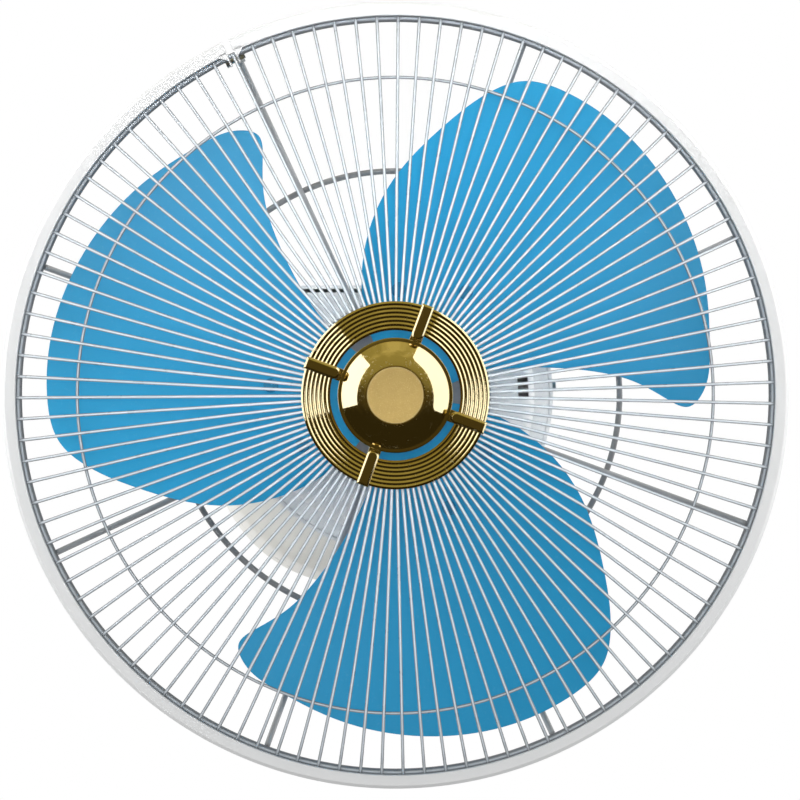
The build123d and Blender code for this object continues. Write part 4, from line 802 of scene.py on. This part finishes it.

# Painted light: the base colour runs from painted shade, near black, on the flanks to a bright
# painted highlight on the wires' middles and the rings' forward faces.
wire_silver = Finish("wire_silver_grey")
painted_highlight = wire_silver.node("ShaderNodeAttribute", {"attribute_name": "front"}, output=2)
lit_spray_tone = wire_silver.mix(wire_silver.noise(30, 3), (0.77, 0.84, 0.90), (0.68, 0.74, 0.80))
wire_silver.look(
    base_color=wire_silver.mix(painted_highlight.between(0.62, 1.0), (0.135, 0.145, 0.160), lit_spray_tone),
    roughness=0.22 + wire_silver.noise(160, 4) * 0.14,
    coat_weight=0.4,
    coat_roughness=0.1,
    normal=wire_silver.bump(wire_silver.noise(650), 0.00002))
for name, mesh in (("front_wires_welded", guard), ("front_rings_welded", guard_rings),
                   ("front_plate_pressed", centre_plate)):
    settle(mesh, name, "head", "front_guard", wire_silver.material)


# Rim: a U-shaped band of white plastic round both outer rings. It is moulded open, with an
# ear and a tab each side of the gap, and a small screw and nut draw it together.
RIM_BAND = (
    (224.4, 138.6), (224.4, 155), (222.4, 157), (216.6, 157), (216.6, 154.6), (218, 153.8),
    (218, 149.6), (217.3, 148.8), (217.3, 146), (217.6, 145.2), (217.6, 139.9), (216.1, 139.9),
    (216.1, 138.6), (219.3, 138.6), (219.3, 155.7), (223.1, 155.7), (223.1, 138.6),
)
RIM_GAP = 4
RIM_GAP_ANGLE = 115.7
RIM_EAR = ((218.2, 2), (212.2, 2.2), (217.4, 8.5), (218.2, 8.5))
RIM_EAR_AT = (155.8, 157)
RIM_TAB = ((210.5, 2), (210.5, 3.4), (218.2, 3.4), (218.2, 2))
RIM_TAB_AT = (144.45, 149.85)

rim = bmesh.new()
half_gap = asin(RIM_GAP / 2 / RIM_BAND[0][0])
band = turned(rim, RIM_BAND, 260, 2 * (pi - half_gap))
rim_start = only(rim.edges, bmesh.types.BMEdge)[:len(RIM_BAND)]
bmesh.ops.contextual_create(rim, geom=rim_start)
bmesh.ops.contextual_create(rim, geom=only(band["geom_last"], bmesh.types.BMEdge))
bmesh.ops.rotate(rim, verts=rim.verts, cent=(0, 0, 0),
                 matrix=Matrix.Rotation(radians(RIM_GAP_ANGLE) + half_gap, 3, "Z"))
for outline, (low, high) in ((RIM_EAR, RIM_EAR_AT), (RIM_TAB, RIM_TAB_AT)):
    for facing in (1, -1):
        lug = [rim.verts.new((x * MM, facing * y * MM, low * MM)) for x, y in outline]
        face = rim.faces.new(lug)
        grown = bmesh.ops.extrude_face_region(rim, geom=[face], use_keep_orig=True)["geom"]
        raised = only(grown, bmesh.types.BMVert)
        bmesh.ops.translate(rim, verts=raised, vec=(0, 0, (high - low) * MM))
        bmesh.ops.rotate(rim, verts=lug + raised, cent=(0, 0, 0),
                         matrix=Matrix.Rotation(radians(RIM_GAP_ANGLE), 3, "Z"))
finish_mesh(rim, HEAD)
rim_white = moulded("rim_white", (0.74, 0.745, 0.75), (0.72, 0.73, 0.735), 0.32,
                    depth=0.00002, edge=0.0001)
round_off(settle(rim, "rim_moulded", "head", "guard_rim", rim_white), 0.35)


# Gold ring: seven rounded ridges round an open middle, moulded in plastic and plated. Its
# back is stepped, so that it covers the ends of the wires.
GOLD_IN = 36.1
GOLD_OUT = 52.1
RING_BACK = 195.6
RING_CHAMFER = 0.2
WIRES_COVERED_AT = 197.2
WIRES_COVERED_FROM = 48
RIDGES = 7
RIDGE_LEAN = radians(33)
RIDGE_R = 0.5
RIDGE_STEPS = 8
CREST = 199.75


def gold_plate(name, roughness=0.06, ripple=0.00002, speckle=0.0):
    """Bright gold plating: faint ripples, fine wiping marks, dull specks of worn lacquer."""
    gold = Finish(name)
    wipes = gold.noise(55, 5)
    worn = gold.noise(330, 5).between(0.58, 0.66) * gold.noise(40, 3).between(0.45, 0.60)
    grain = gold.noise(900, 3)
    if speckle:
        reach = gold.reach(gold.spot(frame_matrix=HEAD))
        near_badge = 1 - reach.between(speckle, speckle * 1.22)
        worn = worn + near_badge * gold.noise(750, 4).between(0.50, 0.62)
    return gold.look(
        base_color=gold.mix(wipes, (0.84, 0.73, 0.46), (0.79, 0.67, 0.39)),
        metallic=1.0,
        roughness=roughness + wipes * 0.04 + worn * 0.22,
        normal=gold.bump(grain * 0.35 + wipes * 0.65 + worn * 0.5, ripple))


def arc(centre, radius, start, end, steps):
    """Points on a circle of (radius, station); angles lean outwards from straight ahead."""
    leans = [start + (end - start) * step / steps for step in range(steps + 1)]
    return [(centre[0] + radius * sin(lean), centre[1] + radius * cos(lean)) for lean in leans]


ridge_width = (GOLD_OUT - GOLD_IN) / RIDGES
flank = ridge_width / 2 - RIDGE_R * sin(RIDGE_LEAN)
valley = CREST - RIDGE_R * (1 - cos(RIDGE_LEAN)) - flank * tan(RIDGE_LEAN)
ring_line = [(GOLD_IN, RING_BACK + RING_CHAMFER)]
for ridge in range(RIDGES):
    foot = GOLD_IN + ridge_width * ridge
    ring_line += [(foot, valley), *arc((foot + ridge_width / 2, CREST - RIDGE_R), RIDGE_R,
                                       -RIDGE_LEAN, RIDGE_LEAN, RIDGE_STEPS)]
ring_line += [
    (GOLD_OUT, valley),
    (GOLD_OUT, WIRES_COVERED_AT + RING_CHAMFER),
    (GOLD_OUT - RING_CHAMFER, WIRES_COVERED_AT),
    (WIRES_COVERED_FROM + RING_CHAMFER, WIRES_COVERED_AT),
    (WIRES_COVERED_FROM, WIRES_COVERED_AT - RING_CHAMFER),
    (WIRES_COVERED_FROM, RING_BACK + RING_CHAMFER),
    (WIRES_COVERED_FROM - RING_CHAMFER, RING_BACK),
    (GOLD_IN + RING_CHAMFER, RING_BACK),
]
gold_ring = bmesh.new()
turned(gold_ring, ring_line, 180)
finish_mesh(gold_ring, HEAD)
settle(gold_ring, "gold_ring_ridged", "head", "gold_ring", gold_plate("ring_gold"))


# Straps: four plated bars with bevelled flanks lie across the ring and hold the dome by a
# tongue spot-welded under its flange. A screw from behind clamps each through the plate.
STRAPS = 4
STRAP_START = 69.7
STRAP_W = 7
STRAP_BAR = ((32.5, 53), (199.9, 203.6))
STRAP_FLANK = 1.15
STRAP_TONGUE = ((24, 35.7), (197.1, 198.75))
STRAP_NOSE = 0.97

strap = bmesh.new()
for (near, far), (low, high) in (STRAP_BAR, STRAP_TONGUE):
    block = bmesh.ops.create_cube(strap, size=1, matrix=(
        Matrix.Translation(((near + far) / 2 * MM, 0, (low + high) / 2 * MM))
        @ Matrix.Diagonal(((far - near) * MM, STRAP_W * MM, (high - low) * MM, 1))))["verts"]
    inner = [edge for edge in {edge for vert in block for edge in vert.link_edges}
             if all(abs(vert.co.x - near * MM) < 1e-6 for vert in edge.verts)
             and abs(edge.verts[0].co.z - edge.verts[1].co.z) > 1e-6]
    bmesh.ops.bevel(strap, geom=inner, affect="EDGES", offset=STRAP_W / 2 * MM * STRAP_NOSE,
                    segments=8, profile=0.5, material=-1)
bar_top = [edge for edge in strap.edges
           if all(abs(vert.co.z - STRAP_BAR[1][1] * MM) < 1e-6 for vert in edge.verts)]
bmesh.ops.bevel(strap, geom=bar_top, affect="EDGES", offset=STRAP_FLANK * MM, segments=1,
                profile=0.5, material=-1)
fan_out(strap, STRAPS, STRAP_START)
finish_mesh(strap, HEAD)
round_off(settle(strap, "gold_straps_bevelled", "head", "gold_straps",
                 gold_plate("strap_gold", 0.08)), 0.35, 3, radians(25))
dress(plated("strap_screw_brass", (0.66, 0.50, 0.24), (0.58, 0.43, 0.20), 0.3), "strap_screws")


# Dome: a brass shell spun with a rolled flange and a shallow seat for the badge, polished
# and gold plated. Its lacquer has gone to fine specks near the badge.
DOME_ARC = (9.71, 189.8)
DOME_ARC_R = 22.62
DOME_WALL = 1.2
DOME_SEAT = ((0, 210.7), (15.45, 210.7), (15.6, 211.15), (15.8, 211.45))
DOME_FOOT = ((28.0, 203.5), (29.5, 202.0), (29.65, 200.4), (29.85, 200.2))
FLANGE_EDGE = (31.5, 199.75)
FLANGE_EDGE_R = 0.45
FLANGE_BACK = ((31.95, 199.0), (31.6, 198.6), (29.3, 198.6))
SEAT_BACK = ((15.2, 209.5), (0, 209.5))

dome_line = [
    *DOME_SEAT,
    *arc(DOME_ARC, DOME_ARC_R, radians(16.5), radians(44.5), 14),
    *DOME_FOOT,
    *arc(FLANGE_EDGE, FLANGE_EDGE_R, 0, radians(90), 5),
    *FLANGE_BACK,
    *arc(DOME_ARC, DOME_ARC_R - DOME_WALL, radians(48), radians(18), 12),
    *SEAT_BACK,
]
dome = bmesh.new()
turned(dome, dome_line, 160, closed=False)
finish_mesh(dome, HEAD)
settle(dome, "gold_dome_spun", "head", "gold_dome",
       gold_plate("dome_gold", 0.03, 0.000012, 0.0185))


# Badge: a plain disc of brushed gold-coloured aluminium, bonded into the dome's seat. Its
# face is left bare, with a fine sparkle and a bright turned edge.
BADGE_LINE = (
    (0, 211.42), (15.0, 211.42), (15.2, 211.55), (15.4, 211.5), (15.5, 211.3), (15.5, 210.75),
    (0, 210.75),
)
BADGE_EDGE = (0.0150, 0.0151)

badge = bmesh.new()
turned(badge, BADGE_LINE, 96, closed=False)
finish_mesh(badge, HEAD)
badge_gold = Finish("badge_gold")
sparkle = badge_gold.noise(2600, 2)
patina = badge_gold.noise(190, 5)
badge_edge = badge_gold.reach(badge_gold.spot(frame_matrix=HEAD)).between(*BADGE_EDGE)
badge_tint = badge_gold.mix(patina, (0.52, 0.37, 0.125), (0.44, 0.31, 0.10))
badge_shine = sparkle.between(0.60, 0.72) * 0.5 + badge_edge * 0.5
settle(badge, "badge_disc", "head", "centre_badge", badge_gold.look(
    base_color=badge_gold.mix(badge_shine, badge_tint, (0.90, 0.72, 0.36)),
    metallic=0.35,
    roughness=0.52 - badge_edge * 0.30 + patina * 0.08,
    normal=badge_gold.bump(sparkle * 0.6 + patina * 0.4, 0.00006)))
